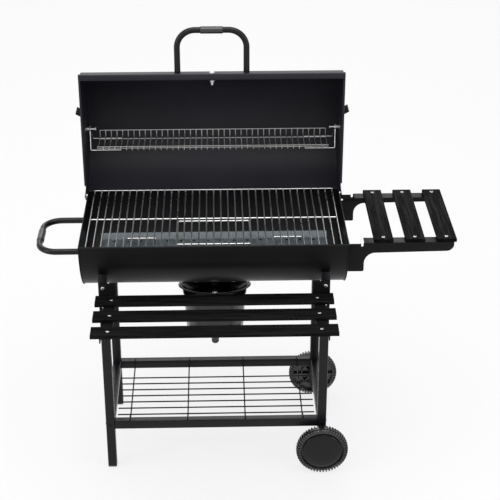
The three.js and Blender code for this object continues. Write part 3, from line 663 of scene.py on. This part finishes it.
# %% [markdown]
# ### Vents and hinge pins
# A damper is a disc with the same four holes as the lid's side, so a turn of 45 degrees shuts the vent.
# Its thumb tab is bent outwards. Rivets, pins and the lid's bolt are turned shapes with rounded heads.

# %% Dampers
def damper(side, out):
    disc = plate(f"disc_{side}", [circle(VENT_Y, LID_Z, 42, 64)] + vent_holes(), 1.4, "x", out * 368.75, 0.4)
    bent = [(368.2, 38), (369.7, 38), (369.7, 46), (371.2, 49), (388.5, 58.4), (387.5, 60), (370, 51), (368.2, 48)]
    tab = loft(f"tab_{side}", [[(out * u, y, LID_Z + v) for u, v in bent] for y in (226, 279)])
    return joined(f"damper_{side}", [disc, tab])


for side, out in SIDES:
    settle(damper(side, out), f"damper_{side}", satin_black, f"vent_damper_{side}")


# %% Rivets, pins and the lid bolt
def dome_head(radius, tall, start):
    """Profile of a low domed head that begins at height `start`."""
    points = [(0, start), (radius, start), (radius, start + tall * 0.35)]
    points += [(radius * math.cos(a), start + tall * (0.35 + 0.65 * math.sin(a)))
               for a in (math.radians(15 * k) for k in range(1, 6))]
    return points + [(0, start + tall)]


RACK_PIN_Y, RACK_PIN_Z = 275, 867


def round_bar(label, far, near, radius, spot, out, steps=20):
    """A plain round rod across the grill; `spot` is its (y, z)."""
    return turn(label, [(0, far), (radius, far), (radius, near), (0, near)], (0, *spot), (out, 0, 0), steps)


vent, hinge, rack_eye = (VENT_Y, LID_Z), (HINGE_Y, HINGE_Z), (RACK_PIN_Y, RACK_PIN_Z)
for side, out in SIDES:
    rivet = joined(f"vent_rivet_{side}", [
        turn("head", dome_head(6.4, 2.5, 369.8), (0, *vent), (out, 0, 0), 28),
        turn("tail", [(0, 362.6), (4, 362.6), (6.4, 363.4), (6.4, 364.6), (0, 364.6)], (0, *vent), (out, 0, 0), 28),
        round_bar("shank", 363, 370, 3.3, vent, out)])
    settle(rivet, "lid", zinc_plate, f"vent_rivet_{side}")
    pin = joined(f"hinge_pin_{side}", [
        turn("head", dome_head(7, 2.9, 367.8), (0, *hinge), (out, 0, 0), 28),
        round_bar("spacer", 360.4, 364.6, 6.2, hinge, out, 24), round_bar("shank", 357.8, 368, 3.9, hinge, out)])
    settle(pin, "trolley", zinc_plate, f"hinge_pin_{side}")
    cap = [(0, 336.2), (5, 336.2), (6.0, 337.2), (6.0, 338.8), (0, 338.8)]
    hook = joined(f"rack_pin_{side}", [
        round_bar("stem", 336.5, 367.4, 3.3, rack_eye, out), turn("cap", cap, (0, *rack_eye), (out, 0, 0), 24),
        round_bar("washer", 351.6, 364.6, 6, rack_eye, out, 24)])
    settle(hook, "lid", zinc_plate, f"rack_pin_{side}")

HANDLE_Y, HANDLE_FOOT_Z = 206, 1060.4
nut = circle(0, HANDLE_Y, 7.4, 6)
bolt = joined("lid_bolt", [
    turn("stem", [(0, 1024.3), (3, 1024.3), (3.9, 1025.5), (3.9, 1061), (0, 1061)], (0, HANDLE_Y, 0), (0, 0, 1), 20),
    plate("nut", [nut], 6, "z", 1035, 0.6),
    turn("washer", [(4, 1038.2), (8.8, 1038.2), (8.8, 1039.8), (4, 1039.8)], (0, HANDLE_Y, 0), (0, 0, 1), 28, True),
    turn("outer_head", dome_head(7.4, 3.1, HANDLE_FOOT_Z), (0, HANDLE_Y, 0), (0, 0, 1), 28)])
settle(bolt, "lid", zinc_plate, "lid_bolt")

# %% [markdown]
# ## The two tube handles
# Both handles are the same bent steel tube with a moulded sleeve in the middle. A path with rounded corners
# and a ring carried along it give a clean bend. Each foot stands on a small pressed washer.

# %% Bent tube, feet and grip
TUBE_R = 8.5
HANDLE_HALF, HANDLE_BEND = 96, 50
LID_REACH, CARRY_REACH = 124, 118


def bent_handle(name, to_place, reach):
    corners = [(-HANDLE_HALF, 0, 0), (-HANDLE_HALF, 0, reach), (HANDLE_HALF, 0, reach), (HANDLE_HALF, 0, 0)]
    path = [to_place(p) for p in rounded_path(corners, HANDLE_BEND, 16)]
    parts = [tube(name, path, TUBE_R, 24)]
    for x in (-HANDLE_HALF, HANDLE_HALF):
        foot, above = to_place(Vector((x, 0, 0))), to_place(Vector((x, 0, 1)))
        parts.append(turn("washer", [(0, 0.2), (8.2, 0.2), (8.9, 0.9), (8.9, 2.0), (8.4, 3.0), (0, 3.0)],
                          foot, above - foot, 28))
    return joined(name, parts)


def handle_grip(name, to_place, reach):
    ridges = [(0, -31), (9.2, -31), (10.3, -29.8)]
    for k in range(11):
        h = -25 + 5 * k
        ridges += [(10.4, h - 1.4), (10.2, h - 0.6), (10.2, h + 0.6), (10.4, h + 1.4)]
    ridges += [(10.3, 29.8), (9.2, 31), (0, 31)]
    middle, beside = to_place(Vector((0, 0, reach))), to_place(Vector((1, 0, reach)))
    return turn(name, ridges, middle, beside - middle, 36, sharp=50)


def on_lid(p):
    return Vector((p.x, HANDLE_Y, HANDLE_FOOT_Z + p.z))


def on_left_end(p):
    return Vector((-360.3 - p.z, p.x, 662))


settle(bent_handle("lid_handle", on_lid, LID_REACH), "lid", tube_black, "lid_handle")
lid_grip = handle_grip("lid_handle_grip", on_lid, LID_REACH)
settle(lid_grip, "lid", moulded_black, "lid_handle_grip")
settle(bent_handle("carry_handle", on_left_end, CARRY_REACH), "trolley", tube_black, "carry_handle")
carry_grip = handle_grip("carry_handle_grip", on_left_end, CARRY_REACH)
settle(carry_grip, "trolley", moulded_black, "carry_handle_grip")

# %% [markdown]
# ## Rows of wires with Geometry Nodes
# The cooking grate, the warming rack and the lower shelf are rows of equal wires welded to a few cross wires.
# One small node tree makes any such row: a straight wire swept from a circle, set out on a mesh line.
# The tree ends in Realize Instances, since exported models can't hold instances, and in Set Material.

def geometry_tree(name, dials):
    tree = bpy.data.node_groups.new(name, "GeometryNodeTree")
    tree.interface.new_socket(name="Geometry", in_out="INPUT", socket_type="NodeSocketGeometry")
    for label, kind, value in dials + [("Material", "Material", None)]:
        socket = tree.interface.new_socket(name=label, in_out="INPUT", socket_type=f"NodeSocket{kind}")
        if value is not None:
            socket.default_value = value
    tree.interface.new_socket(name="Geometry", in_out="OUTPUT", socket_type="NodeSocketGeometry")
    return tree, tree.nodes.new("NodeGroupInput"), tree.nodes.new("NodeGroupOutput")


def add(tree, kind, preset=None, **settings):
    node = tree.nodes.new(kind)
    for label, value in settings.items():
        setattr(node, label, value)
    for label, value in (preset or {}).items():
        node.inputs[label].default_value = value
    return node


def connect(tree, *links):
    for source, output, target, entry in links:
        tree.links.new(source.outputs[output], target.inputs[entry])


def finish_tree(tree, given, result, shape, output):
    real = add(tree, "GeometryNodeRealizeInstances")
    paint = add(tree, "GeometryNodeSetMaterial")
    connect(tree, (shape, output, real, "Geometry"), (real, "Geometry", paint, "Geometry"),
            (given, "Material", paint, "Material"), (paint, "Geometry", result, "Geometry"))
    return tree


ROW_DIALS = [("Count", "Int", 10), ("Start", "Vector", None), ("Step", "Vector", None)]


def in_a_row(tree, given, shape):
    """Lays a copy of a mesh on each point of a line that begins at Start and goes on by Step."""
    spots = add(tree, "GeometryNodeMeshLine", mode="OFFSET")
    lay = add(tree, "GeometryNodeInstanceOnPoints")
    connect(tree, (given, "Count", spots, "Count"), (given, "Start", spots, "Start Location"),
            (given, "Step", spots, "Offset"), (spots, "Mesh", lay, "Points"), (shape, "Mesh", lay, "Instance"))
    return lay


def grow(name, tree, seed_mesh=None, **values):
    """Runs a tree on an object and keeps only the plain mesh that it makes."""
    holder = put_in_scene(name, seed_mesh or bpy.data.meshes.new(name))
    modifier = holder.modifiers.new("grow", "NODES")
    modifier.node_group = tree
    for item in tree.interface.items_tree:
        if item.item_type == "SOCKET" and item.in_out == "INPUT" and item.name in values:
            modifier[item.identifier] = values[item.name]
    made = bake(holder, name)
    soften(made.data, 45)
    return made


# %% The wire row
def make_wire_row():
    tree, given, result = geometry_tree("Wire row", ROW_DIALS + [
        ("Reach", "Vector", None), ("Thickness", "Float", 0.004), ("Sides", "Int", 10)])
    wire = add(tree, "GeometryNodeCurvePrimitiveLine")
    ring = add(tree, "GeometryNodeCurvePrimitiveCircle")
    half = add(tree, "ShaderNodeMath", {1: 0.5}, operation="MULTIPLY")
    sweep = add(tree, "GeometryNodeCurveToMesh", {"Fill Caps": True})
    connect(tree, (given, "Reach", wire, "End"), (given, "Thickness", half, 0), (half, "Value", ring, "Radius"),
            (given, "Sides", ring, "Resolution"), (wire, "Curve", sweep, "Curve"),
            (ring, "Curve", sweep, "Profile Curve"))
    return finish_tree(tree, given, result, in_a_row(tree, given, sweep), "Instances")


WIRE_ROW = make_wire_row()


def wire_row(name, count, start, step, reach, thickness, material, sides=10):
    return grow(name, WIRE_ROW, Count=count, Start=at(start), Step=metres(step), Reach=metres(reach),
                Thickness=thickness / 1000, Sides=sides, Material=material)


# %% The cooking grate
grate = joined("cooking_grate", [
    wire_row("grate_bars", 35, (-340, -173, 713.9), (20, 0, 0), (0, 340, 0), 3.6, bright_wire, 12),
    wire_row("grate_hooks", 35, (-340, 166, 713.9), (20, 0, 0), (0, 8, 3.2), 3.6, bright_wire, 12),
    wire_row("grate_cross", 2, (-342, -172.4, 710.4), (0, 172.4, 0), (684, 0, 0), 4.2, bright_wire, 12),
    wire_row("grate_rear_wire", 1, (-342, 174.2, 717.2), (0, 0, 0), (684, 0, 0), 2.8, bright_wire, 12),
    tube("grate_loop", rounded_path([(-98, -152, 709), (98, -152, 709), (98, -13, 709), (-98, -13, 709)], 5, 6, True),
         2.1, 12, loop=True)])
settle(grate, "grate", bright_wire, "cooking_grate")

# %% The warming rack
EYE_X = 353.5


def hanger(out):
    corners = [(266, 229.5, 820.2), (350.5, 229.5, 820.2), (EYE_X, 270, 862.5), (EYE_X, 266.5, 869), (EYE_X, 275, 876),
               (EYE_X, 283.5, 869), (EYE_X, 280, 862.5), (351, 320.5, 818.6), (266, 320.5, 818.6)]
    return tube("hanger", rounded_path([(out * x, y, z) for x, y, z in corners], 2.2, 5), 1.4, 10)


bars, first = 41, -330.5
pitch = (16.525, 0, 0)
rack_rows = (("rack_bars", bars, (first, 224.6, 822.8), pitch, (0, 100.9, 0), 2.6),
             ("rack_rear_fence", bars, (first, 325.5, 821.6), pitch, (0, 0, 21), 2.8),
             ("rack_front_fence", bars, (first, 224.6, 821.6), pitch, (0, 0, 12), 2.6),
             ("rack_rails", 2, (-332, 325.5, 842), (0, -100.9, -9.4), (664, 0, 0), 2.2),
             ("rack_floor_ties", 2, (-332, 240, 821.2), (0, 70, 0), (664, 0, 0), 2.2))
rack = joined("warming_rack", [wire_row(*row, bright_wire, 8) for row in rack_rows] + [hanger(-1), hanger(1)])
settle(rack, "rack", bright_wire, "warming_rack")

# %% The lower wire shelf
def shelf_hook(x):
    corners = [(x, -163.5, 158.4), (x, -144.4, 158.4), (x, -144.4, 144.5), (x, 144.4, 144.5), (x, 144.4, 158.4),
               (x, 163.5, 158.4)]
    return tube("shelf_hook", rounded_path(corners, 4, 6), 2.0, 12)


lower_shelf = joined("wire_shelf", [
    wire_row("shelf_wires", 7, (-282, -124, 148), (0, 32, 0), (564, 0, 0), 4.0, wire_black, 12),
    wire_row("shelf_back_wire", 1, (-282, 132, 148), (0, 32, 0), (564, 0, 0), 4.0, wire_black, 12)]
    + [shelf_hook(x) for x in (-245, -81, 83, 247)])
settle(lower_shelf, "trolley", wire_black, "wire_shelf")

# %% [markdown]
# ## The coal tray
# The coal lies on a galvanised sheet with a raised lip front and back and a row of air holes along the rear.
# The holes repeat, so Geometry Nodes punches them: one cutter on a mesh line and one Mesh Boolean.

# %% Punched holes
def make_punch_row():
    tree, given, result = geometry_tree("Punched holes", ROW_DIALS + [("Radius", "Float", 0.0045)])
    cutter = add(tree, "GeometryNodeMeshCylinder", {"Vertices": 20, "Depth": 0.03})
    lay = in_a_row(tree, given, cutter)
    real = add(tree, "GeometryNodeRealizeInstances")
    punch = add(tree, "GeometryNodeMeshBoolean", operation="DIFFERENCE", solver="EXACT")
    connect(tree, (given, "Radius", cutter, "Radius"), (lay, "Instances", real, "Geometry"),
            (given, "Geometry", punch, "Mesh 1"), (real, "Geometry", punch, "Mesh 2"))
    return finish_tree(tree, given, result, punch, "Mesh")


PUNCH_ROW = make_punch_row()
lip_line = [(-130, 603), (-112.6, 590.4), (-111.4, 590), (111.4, 590), (112.6, 590.4), (130, 603)]
over = [(129.2, 604.3), (111.9, 591.8), (111, 591.5), (-111, 591.5), (-111.9, 591.8), (-129.2, 604.3)]
tray_sheet = loft("tray_sheet", [[(x, u, v) for u, v in lip_line + over] for x in (-325, 325)], paired=True, sharp=20)
tray_mesh = tray_sheet.data
bpy.data.objects.remove(tray_sheet)
# The step is written in metres: 38 / 1000 differs in its last bit, and the Boolean then splits the sheet differently.
tray = grow("coal_tray", PUNCH_ROW, tray_mesh, Count=16, Start=at((-285, 100, 591)),
            Step=Vector((0.038, 0, 0)), Radius=0.0045, Material=galvanised)
settle(tray, "tray", galvanised, "coal_tray")
for side, x in (("left", -207), ("right", 210)):
    corners = [(x - 42.5, 82, 592), (x - 42.5, 82, 609.3), (x + 42.5, 82, 609.3), (x + 42.5, 82, 592)]
    lift = tube(f"tray_handle_{side}", rounded_path(corners, 6, 8), 2.4, 14)
    settle(lift, "tray", bright_wire, f"coal_tray_handle_{side}")

# %% [markdown]
# ## Catching the ash
# Under the hole sits an enamelled dish that narrows to a spout; a bucket below it hangs on a rod with a knob.
# All four turn round one upright axis, so each is a profile spun round it, with its wall thickness drawn in.

# %% Dish, bucket, rod and knob
DROP = 503
dish_wall = [(59.6, -37), (58, -37), (58, -27.6), (61, -24.8), (69.4, -21.4), (79, -15.6), (89, -7.0), (95, 0.4),
             (98, 1.6), (101, 1.8), (103, 0.4), (102.8, -0.8), (100.8, -1.6), (97, -4), (90.4, -9.6),
             (80, -18), (70, -23.6), (62, -26.6), (59.6, -28.5)]
dish = turn("ash_dish", dish_wall, (0, 0, DROP), (0, 0, 1), 72, closed=True)
DISH_DEPTH = 0.55
for corner in dish.data.vertices:
    across = (corner.co.y - ORIGIN.y) * 1000
    from_axis = math.hypot(across, (corner.co.x - ORIGIN.x) * 1000)
    if from_axis > 60:
        wanted = 1 - (1 - DISH_DEPTH) * min(1, (from_axis - 60) / 36)
        corner.co.y = ORIGIN.y + across * wanted / 1000
straps = [loft("strap", [[(side * x, y, z) for y, z in ((-9, low), (9, low), (9, low + 1.6), (-9, low + 1.6))]
                         for x, low in ((96, 505), (88, 522), (70, 536.5), (62, 537.6))], sharp=30)
          for side in (-1, 1)]
dish = joined("ash_dish", [dish] + straps)
settle(dish, "trolley", enamel_black, "ash_dish")

bucket_wall = [(4.8, 372), (74, 372), (79, 373), (81.6, 377), (84.4, 420), (86.4, 455), (87.8, 481), (89.4, 482.4),
               (90.5, 484.4), (90, 486.4), (88.6, 487), (86.8, 486), (86.2, 481), (84.8, 455), (82.8, 420),
               (80, 378), (77.6, 374.6), (73, 373.8), (4.8, 373.8)]
bucket = turn("ash_bucket", bucket_wall, (0, 0, 0), (0, 0, 1), 96, closed=True)
settle(bucket, "bucket", bucket_black, "ash_bucket")

rod_line = [(0, 322), (3.2, 322), (3.9, 323.2), (3.9, 473.4), (3.2, 474), (0, 474)]
rod = joined("ash_rod", [
    turn("ash_rod", rod_line, (0, 0, 0), (0, 0, 1), 20),
    board("rod_bar", (-8, -56, 468), (8, 56, 472), 1.2)])
settle(rod, "trolley", zinc_plate, "ash_rod")
knob_line = [(0, 310), (4, 310.2), (7.6, 311.8), (9.8, 314.4), (10.9, 318), (10.9, 325), (9.8, 328.6), (8, 331.2),
             (7.4, 334), (7.4, 371.6), (4.7, 371.6), (4.7, 320.2), (0, 320.2)]
settle(turn("ash_knob", knob_line, (0, 0, 0), (0, 0, 1), 32), "knob", moulded_black, "ash_knob")

# %% [markdown]
# ## Legs and rails
# The stand is 25 mm square tube with rounded corners. The legs' upper ends are cut to the drum's curve,
# so the top ring of each leg is lifted or dropped point by point until it meets the barrel.

# %% Square tube
LEG_X, LEG_Y, RAIL_Z = 300.5, 160, 143.5
LEG_TOP = 631


def square_ring(a, b, half=12.5, corner=3.2):
    return rounded_outline([(a - half, b - half), (a + half, b - half), (a + half, b + half), (a - half, b + half)],
                           corner, 4)


def leg(name, x, y, low):
    ring = square_ring(x, y)
    top = [(u, v, min(LEG_TOP, RIM - math.sqrt((DRUM_R + 2.6) ** 2 - v * v))) for u, v in ring]
    return loft(name, [[(u, v, low) for u, v in ring], top], sharp=60)


def foot_plug(label, x, y):
    rings = [[(u, v, z) for u, v in square_ring(x, y, half, 3)]
             for z, half in ((0, 11.2), (1.2, 12.4), (5.4, 12.4), (6.0, 11.9))]
    plug = [[(u, v, z) for u, v in square_ring(x, y, 10.2, 2)] for z in (5, 20)]
    return joined(f"foot_{label}", [loft("foot", rings, sharp=30), loft("plug", plug)])


for end, sy in ENDS:
    for side, sx in SIDES:
        made = leg(f"leg_{end}_{side}", sx * LEG_X, sy * LEG_Y, 6.3 if sx < 0 else 58)
        settle(made, "trolley", tube_black, f"leg_{end}_{side}")
        if side == "left":
            foot = foot_plug(f"{end}_left", -LEG_X, sy * LEG_Y)
            settle(foot, "trolley", moulded_black, f"foot_{end}_left")

rail_rings = {end: [[(x, u, v) for u, v in square_ring(sy * LEG_Y, RAIL_Z)] for x in (-287.7, 287.7)]
              for end, sy in ENDS}
rail_rings |= {side: [[(u, y, v) for u, v in square_ring(sx * LEG_X, RAIL_Z)] for y in (-147.2, 147.2)]
               for side, sx in SIDES}
for label, rings in rail_rings.items():
    settle(loft(f"rail_{label}", rings), "trolley", tube_black, f"rail_{label}")

# %% [markdown]
# ## Brackets
# The front shelf and the side table rest on angle brackets pressed from 3 mm sheet: an upright web and a
# flange under the slats. Each is two or three filled outlines laid against each other.

# %% Front shelf brackets
def shelf_bracket(side, out):
    web = [(-172.9, 518.9), (-172.9, 560.5), (-388, 560.5), (-388, 546.7), (-382, 542.7)]
    flange = [(out * 265, -388), (out * 297, -388), (out * 297, -172.9), (out * 265, -172.9)]
    back = rounded_outline([(out * 265, 518.9), (out * 312, 518.9), (out * 312, 604.8), (out * 265, 604.8)], 4, 5)
    parts = [plate("web", [rounded_outline(web, 3, 4)], 2.8, "x", out * 295.5, 0.5),
             plate("flange", [rounded_outline(flange, 2.5, 4)], 2.6, "z", 559.3, 0.5),
             plate("back", [back], 2.6, "y", -174.3, 0.5)]
    return joined(f"shelf_bracket_{side}", parts)


for side, out in SIDES:
    settle(shelf_bracket(side, out), "trolley", satin_black, f"shelf_bracket_{side}")


# %% Side table brackets
def table_bracket(side, out):
    web = ([(360.5, 622.9), (400.5, 622.9), (403, 625.4), (403, 648)] + arc(434, 648, 31, 180, 100, 10)[1:]
           + [(622, 681.7)] + arc(624, 701.7, 20, 272, 350, 10) + [(644, 708.5), (400, 708.5)]
           + arc(397, 700, 3, 0, -180, 8) + [(394, 705.5), (360.5, 705.5)])
    web_holes = [circle(369, h, 3.0, 16) for h in (655, 690)] if side == "rear" else []
    flange = [(402, out * 124), (644, out * 124), (644, out * 156), (402, out * 156)]
    mount = [(out * 124, 622.9), (out * 156, 622.9), (out * 156, 705.5), (out * 124, 705.5)]
    parts = [plate("web", [web] + web_holes, 2.8, "y", out * 154.5, 0.5),
             plate("flange", [rounded_outline(flange, 2.5, 4)], 2.6, "z", 707.3, 0.5),
             plate("mount", [rounded_outline(mount, 2.5, 4)], 2.6, "x", 361.8, 0.5)]
    return joined(f"table_bracket_{side}", parts)


for side, out in ENDS:
    settle(table_bracket(side, out), "trolley", satin_black, f"table_bracket_{side}")

# %% [markdown]
# ## Slats
# Both shelves are three boards of black-stained wood with gaps. One tree makes a row of boards: a straight
# line swept with a rectangle whose corners are filleted, so every board has the same eased edges.

# %% Boards in a row
def make_slat_row():
    tree, given, result = geometry_tree("Slat row", ROW_DIALS + [
        ("Reach", "Vector", None), ("Width", "Float", 0.05), ("Thickness", "Float", 0.01),
        ("Eased edge", "Float", 0.0015)])
    line = add(tree, "GeometryNodeCurvePrimitiveLine")
    section = add(tree, "GeometryNodeCurvePrimitiveQuadrilateral")
    ease = add(tree, "GeometryNodeFilletCurve", {"Count": 4}, mode="POLY")
    sweep = add(tree, "GeometryNodeCurveToMesh", {"Fill Caps": True})
    connect(tree, (given, "Reach", line, "End"), (given, "Width", section, "Width"),
            (given, "Thickness", section, "Height"), (section, "Curve", ease, "Curve"),
            (given, "Eased edge", ease, "Radius"), (line, "Curve", sweep, "Curve"),
            (ease, "Curve", sweep, "Profile Curve"))
    return finish_tree(tree, given, result, in_a_row(tree, given, sweep), "Instances")


SLAT_ROW = make_slat_row()


def slat_row(name, start, step, reach, width, material):
    return grow(name, SLAT_ROW, Count=3, Start=at(start), Step=metres(step), Reach=metres(reach),
                Width=width / 1000, Thickness=0.010, Material=material, **{"Eased edge": 0.0016})


front_slats = slat_row("front_shelf_slats", (-320, -203, 566), (0, -82, 0), (640, 0, 0), 48, stained_wood_x)
settle(front_slats, "trolley", stained_wood_x, "shelf_slat_1", "shelf_slat_2", "shelf_slat_3")
# The table slats wear the darker copy of the stain, painted shade for their lit upward faces.
table_slats = slat_row("side_table_slats", (454, -156.5, 714), (85, 0, 0), (0, 313, 0), 52, table_wood_painted_shade)
settle(table_slats, "trolley", table_wood_painted_shade, "table_slat_1", "table_slat_2", "table_slat_3")
for made in (front_slats, table_slats):
    print(made.name, "size", tuple(round(v, 3) for v in made.dimensions))

# %% [markdown]
# ## Screws
# Every joint is held by the same cross-head screw in a few sizes. A mesh of bare points says where they sit,
# and an attribute called `aim` says which way each head looks. The tree stands a head on every point.

# %% A screw on every point
def make_screws():
    tree, given, result = geometry_tree("Screws", [("Radius", "Float", 0.005), ("Rise", "Float", 0.4),
                                                   ("Cross", "Float", 0.22)])
    ball = add(tree, "GeometryNodeMeshUVSphere", {"Segments": 20, "Rings": 10, "Radius": 1})
    squash = add(tree, "ShaderNodeCombineXYZ", {"X": 1, "Y": 1})
    flatten = add(tree, "GeometryNodeTransform")
    arm = add(tree, "ShaderNodeCombineXYZ", {"X": 1.1, "Z": 0.5})
    bar = add(tree, "GeometryNodeMeshCube")
    rise = add(tree, "ShaderNodeCombineXYZ")
    cut = add(tree, "GeometryNodeMeshBoolean", operation="DIFFERENCE", solver="EXACT")
    for turned in (0, math.pi / 2):
        slot_arm = add(tree, "GeometryNodeTransform", {"Rotation": (0, 0, turned)})
        connect(tree, (bar, "Mesh", slot_arm, "Geometry"), (rise, "Vector", slot_arm, "Translation"),
                (slot_arm, "Geometry", cut, "Mesh 2"))
    aim = add(tree, "GeometryNodeInputNamedAttribute", {"Name": "aim"}, data_type="FLOAT_VECTOR")
    stand = add(tree, "FunctionNodeAlignRotationToVector", axis="Z")
    lay = add(tree, "GeometryNodeInstanceOnPoints")
    connect(tree, (given, "Rise", squash, "Z"), (given, "Rise", rise, "Z"), (ball, "Mesh", flatten, "Geometry"),
            (squash, "Vector", flatten, "Scale"), (given, "Cross", arm, "Y"), (arm, "Vector", bar, "Size"),
            (flatten, "Geometry", cut, "Mesh 1"), (given, "Geometry", lay, "Points"), (cut, "Mesh", lay, "Instance"),
            (aim, "Attribute", stand, "Vector"), (stand, "Rotation", lay, "Rotation"),
            (given, "Radius", lay, "Scale"))
    return finish_tree(tree, given, result, lay, "Instances")


SCREWS = make_screws()


def screws(name, radius, spots, material, rise=0.4):
    mesh = bpy.data.meshes.new(name)
    mesh.from_pydata([tuple(at(where)) for where, _ in spots], [], [])
    aims = mesh.attributes.new("aim", "FLOAT_VECTOR", "POINT")
    for number, (_, aim) in enumerate(spots):
        aims.data[number].vector = aim
    return grow(name, SCREWS, mesh, Radius=radius / 1000, Rise=rise, Cross=0.22, Material=material)


# %% Where the screws go
UP, FRONT, BACK, RIGHT, LEFT = (0, 0, 1), (0, -1, 0), (0, 1, 0), (1, 0, 0), (-1, 0, 0)
BOTH = (-1, 1)
for row in range(3):
    for label, sy in ENDS:
        table_screw = screws(f"table_screw_{row + 1}_{label}", 5.4, [((454 + 85 * row, sy * 140.5, 718.4), UP)],
                             zinc_plate, 0.28)
        settle(table_screw, "trolley", zinc_plate, f"table_screw_{row + 1}_{label}")
shelf_spots = [((sx * 276, -203 - 82 * row, 570.6), UP) for sx in BOTH for row in range(3)]
shelf_spots += [((sx * LEG_X, -175.6, z), FRONT) for z in (590, 534) for sx in BOTH]
settle(screws("shelf_screws", 5.2, shelf_spots, zinc_plate, 0.3), "trolley", zinc_plate)
frame_spots = [((sx * LEG_X, sy * 172.3, RAIL_Z), aim) for sy, aim in ((-1, FRONT), (1, BACK)) for sx in BOTH]
frame_spots += [((sx * 312.8, sy * LEG_Y, z), aim)
                for z in (RAIL_Z, 608) for sx, aim in ((-1, LEFT), (1, RIGHT)) for sy in BOTH]
settle(screws("stand_screws", 4.6, frame_spots, satin_black, 0.45), "trolley", satin_black)
bracket_spots = [((x, sy * 134, z), aim) for x, aim in ((363.0, RIGHT), (-357.4, RIGHT), (357.4, LEFT))
                 for sy in BOTH for z in (640, 688)]
bracket_spots += [((-357.4, sy * 96, 662), RIGHT) for sy in BOTH]
settle(screws("drum_screws", 4.6, bracket_spots, satin_black, 0.45), "trolley", satin_black)

# %% [markdown]
# ## Wheels
# The wheels are moulded plastic: a ribbed tread, a recessed web with spokes on the inner side and a glossy
# domed hub cap outside. The ribs and spokes come from one tree that sets a block out round an axis.

# %% A ring of blocks
def make_block_ring():
    tree, given, result = geometry_tree("Block ring", [
        ("Count", "Int", 48), ("Radius", "Float", 0.07), ("Size", "Vector", None), ("Centre", "Vector", None),
        ("Shift", "Float", 0.0)])
    ring = add(tree, "GeometryNodeMeshCircle")
    turn_up = add(tree, "GeometryNodeTransform", {"Rotation": (math.pi / 2, 0, 0)})
    block = add(tree, "GeometryNodeMeshCube")
    spot = add(tree, "GeometryNodeInputPosition")
    split = add(tree, "ShaderNodeSeparateXYZ")
    lean = add(tree, "ShaderNodeMath", operation="ARCTAN2")
    angles = add(tree, "ShaderNodeCombineXYZ")
    outward = add(tree, "FunctionNodeEulerToRotation")
    lay = add(tree, "GeometryNodeInstanceOnPoints")
    move = add(tree, "GeometryNodeTransform")
    offset = add(tree, "ShaderNodeCombineXYZ")
    place = add(tree, "ShaderNodeVectorMath", operation="ADD")
    connect(tree, (given, "Count", ring, "Vertices"), (given, "Radius", ring, "Radius"),
            (given, "Size", block, "Size"), (ring, "Mesh", turn_up, "Geometry"), (turn_up, "Geometry", lay, "Points"),
            (block, "Mesh", lay, "Instance"), (spot, "Position", split, "Vector"), (split, "X", lean, 0),
            (split, "Z", lean, 1), (lean, "Value", angles, "Y"), (angles, "Vector", outward, "Euler"),
            (outward, "Rotation", lay, "Rotation"), (given, "Shift", offset, "Y"), (offset, "Vector", place, 0),
            (given, "Centre", place, 1), (lay, "Instances", move, "Geometry"), (place, "Vector", move, "Translation"))
    return finish_tree(tree, given, result, move, "Geometry")


BLOCK_RING = make_block_ring()


def block_ring(name, count, radius, size, centre, shift):
    return grow(name, BLOCK_RING, Count=count, Radius=radius / 1000, Size=metres(size),
                Centre=at(centre), Shift=shift / 1000, Material=moulded_black)


# %% Tyre, web, hub and cap
WHEEL_X, WHEEL_Y, WHEEL_Z = 300.5, 203, 74
LUGS = 50


def wheel(label, out):
    middle = (WHEEL_X, out * WHEEL_Y, WHEEL_Z)
    tyre = [(61.5, -13), (65.5, -11.8), (69.4, -8.8), (71, -5), (71, 5), (69.4, 8.8), (65.5, 11.8), (61, 13),
            (59.4, 11), (58.2, 8), (40, 8), (20, 8), (6, 8), (6, -26.6), (14.5, -26.6), (16, -25), (16, -2),
            (40, -2), (59, -2), (60.5, -12)]
    parts = [turn("tyre", tyre, middle, (0, out, 0), 72, closed=True)]
    for row, radius, size, shift in (("crown_lugs", 71.2, (4.4, 5.6, 5.2), 3.6),
                                     ("inner_lugs", 71.2, (4.4, 5.6, 5.2), -3.6),
                                     ("shoulder_lugs", 66.8, (3.6, 6.0, 8.6), 11.0),
                                     ("inner_shoulder_lugs", 66.8, (3.6, 6.0, 8.6), -11.0)):
        parts.append(block_ring(row, LUGS, radius, size, middle, out * shift))
    parts.append(block_ring("spokes", 8, 38, (3.2, 10, 45), middle, -out * 6.5))
    parts.append(turn("stiffener", [(34.7, -1), (34.7, -12), (37.3, -12), (37.3, -1)], middle, (0, out, 0), 56, True))
    return joined(f"wheel_{label}", parts)


def hub_cap(label, out):
    cap = [(0, 8.4), (56, 8.4), (56.4, 9), (56.4, 12), (55.4, 14), (53.8, 15), (52.4, 14.4), (51, 15.2), (46, 17.2),
           (40, 18.8), (30, 20.4), (20, 21.2), (10, 21.5), (0, 21.6)]
    return turn(f"hub_cap_{label}", cap, (WHEEL_X, out * WHEEL_Y, WHEEL_Z), (0, out, 0), 72)


for label, out in ENDS:
    settle(wheel(label, out), f"{label}_wheel", moulded_black, f"wheel_{label}")
    settle(hub_cap(label, out), f"{label}_wheel", gloss_black, f"hub_cap_{label}")

axle = turn("axle", [(0, -210.4), (4, -210.4), (4.9, -209.4), (4.9, 209.4), (4, 210.4), (0, 210.4)],
            (WHEEL_X, 0, WHEEL_Z), (0, 1, 0), 24)
settle(axle, "trolley", zinc_plate, "axle")

# %% [markdown]
# ## Last look
# Every CAD node now has a stand-in. The boxes of the CAD model and of this model are written out side by
# side, because a rebuilt piece must never change the size of the grill.

# %% Sizes and finish
visual_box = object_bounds()
for title, box in (("CAD", cad_box), ("this model", visual_box)):
    print(title, [round(v, 4) for v in box[1] - box[0]])
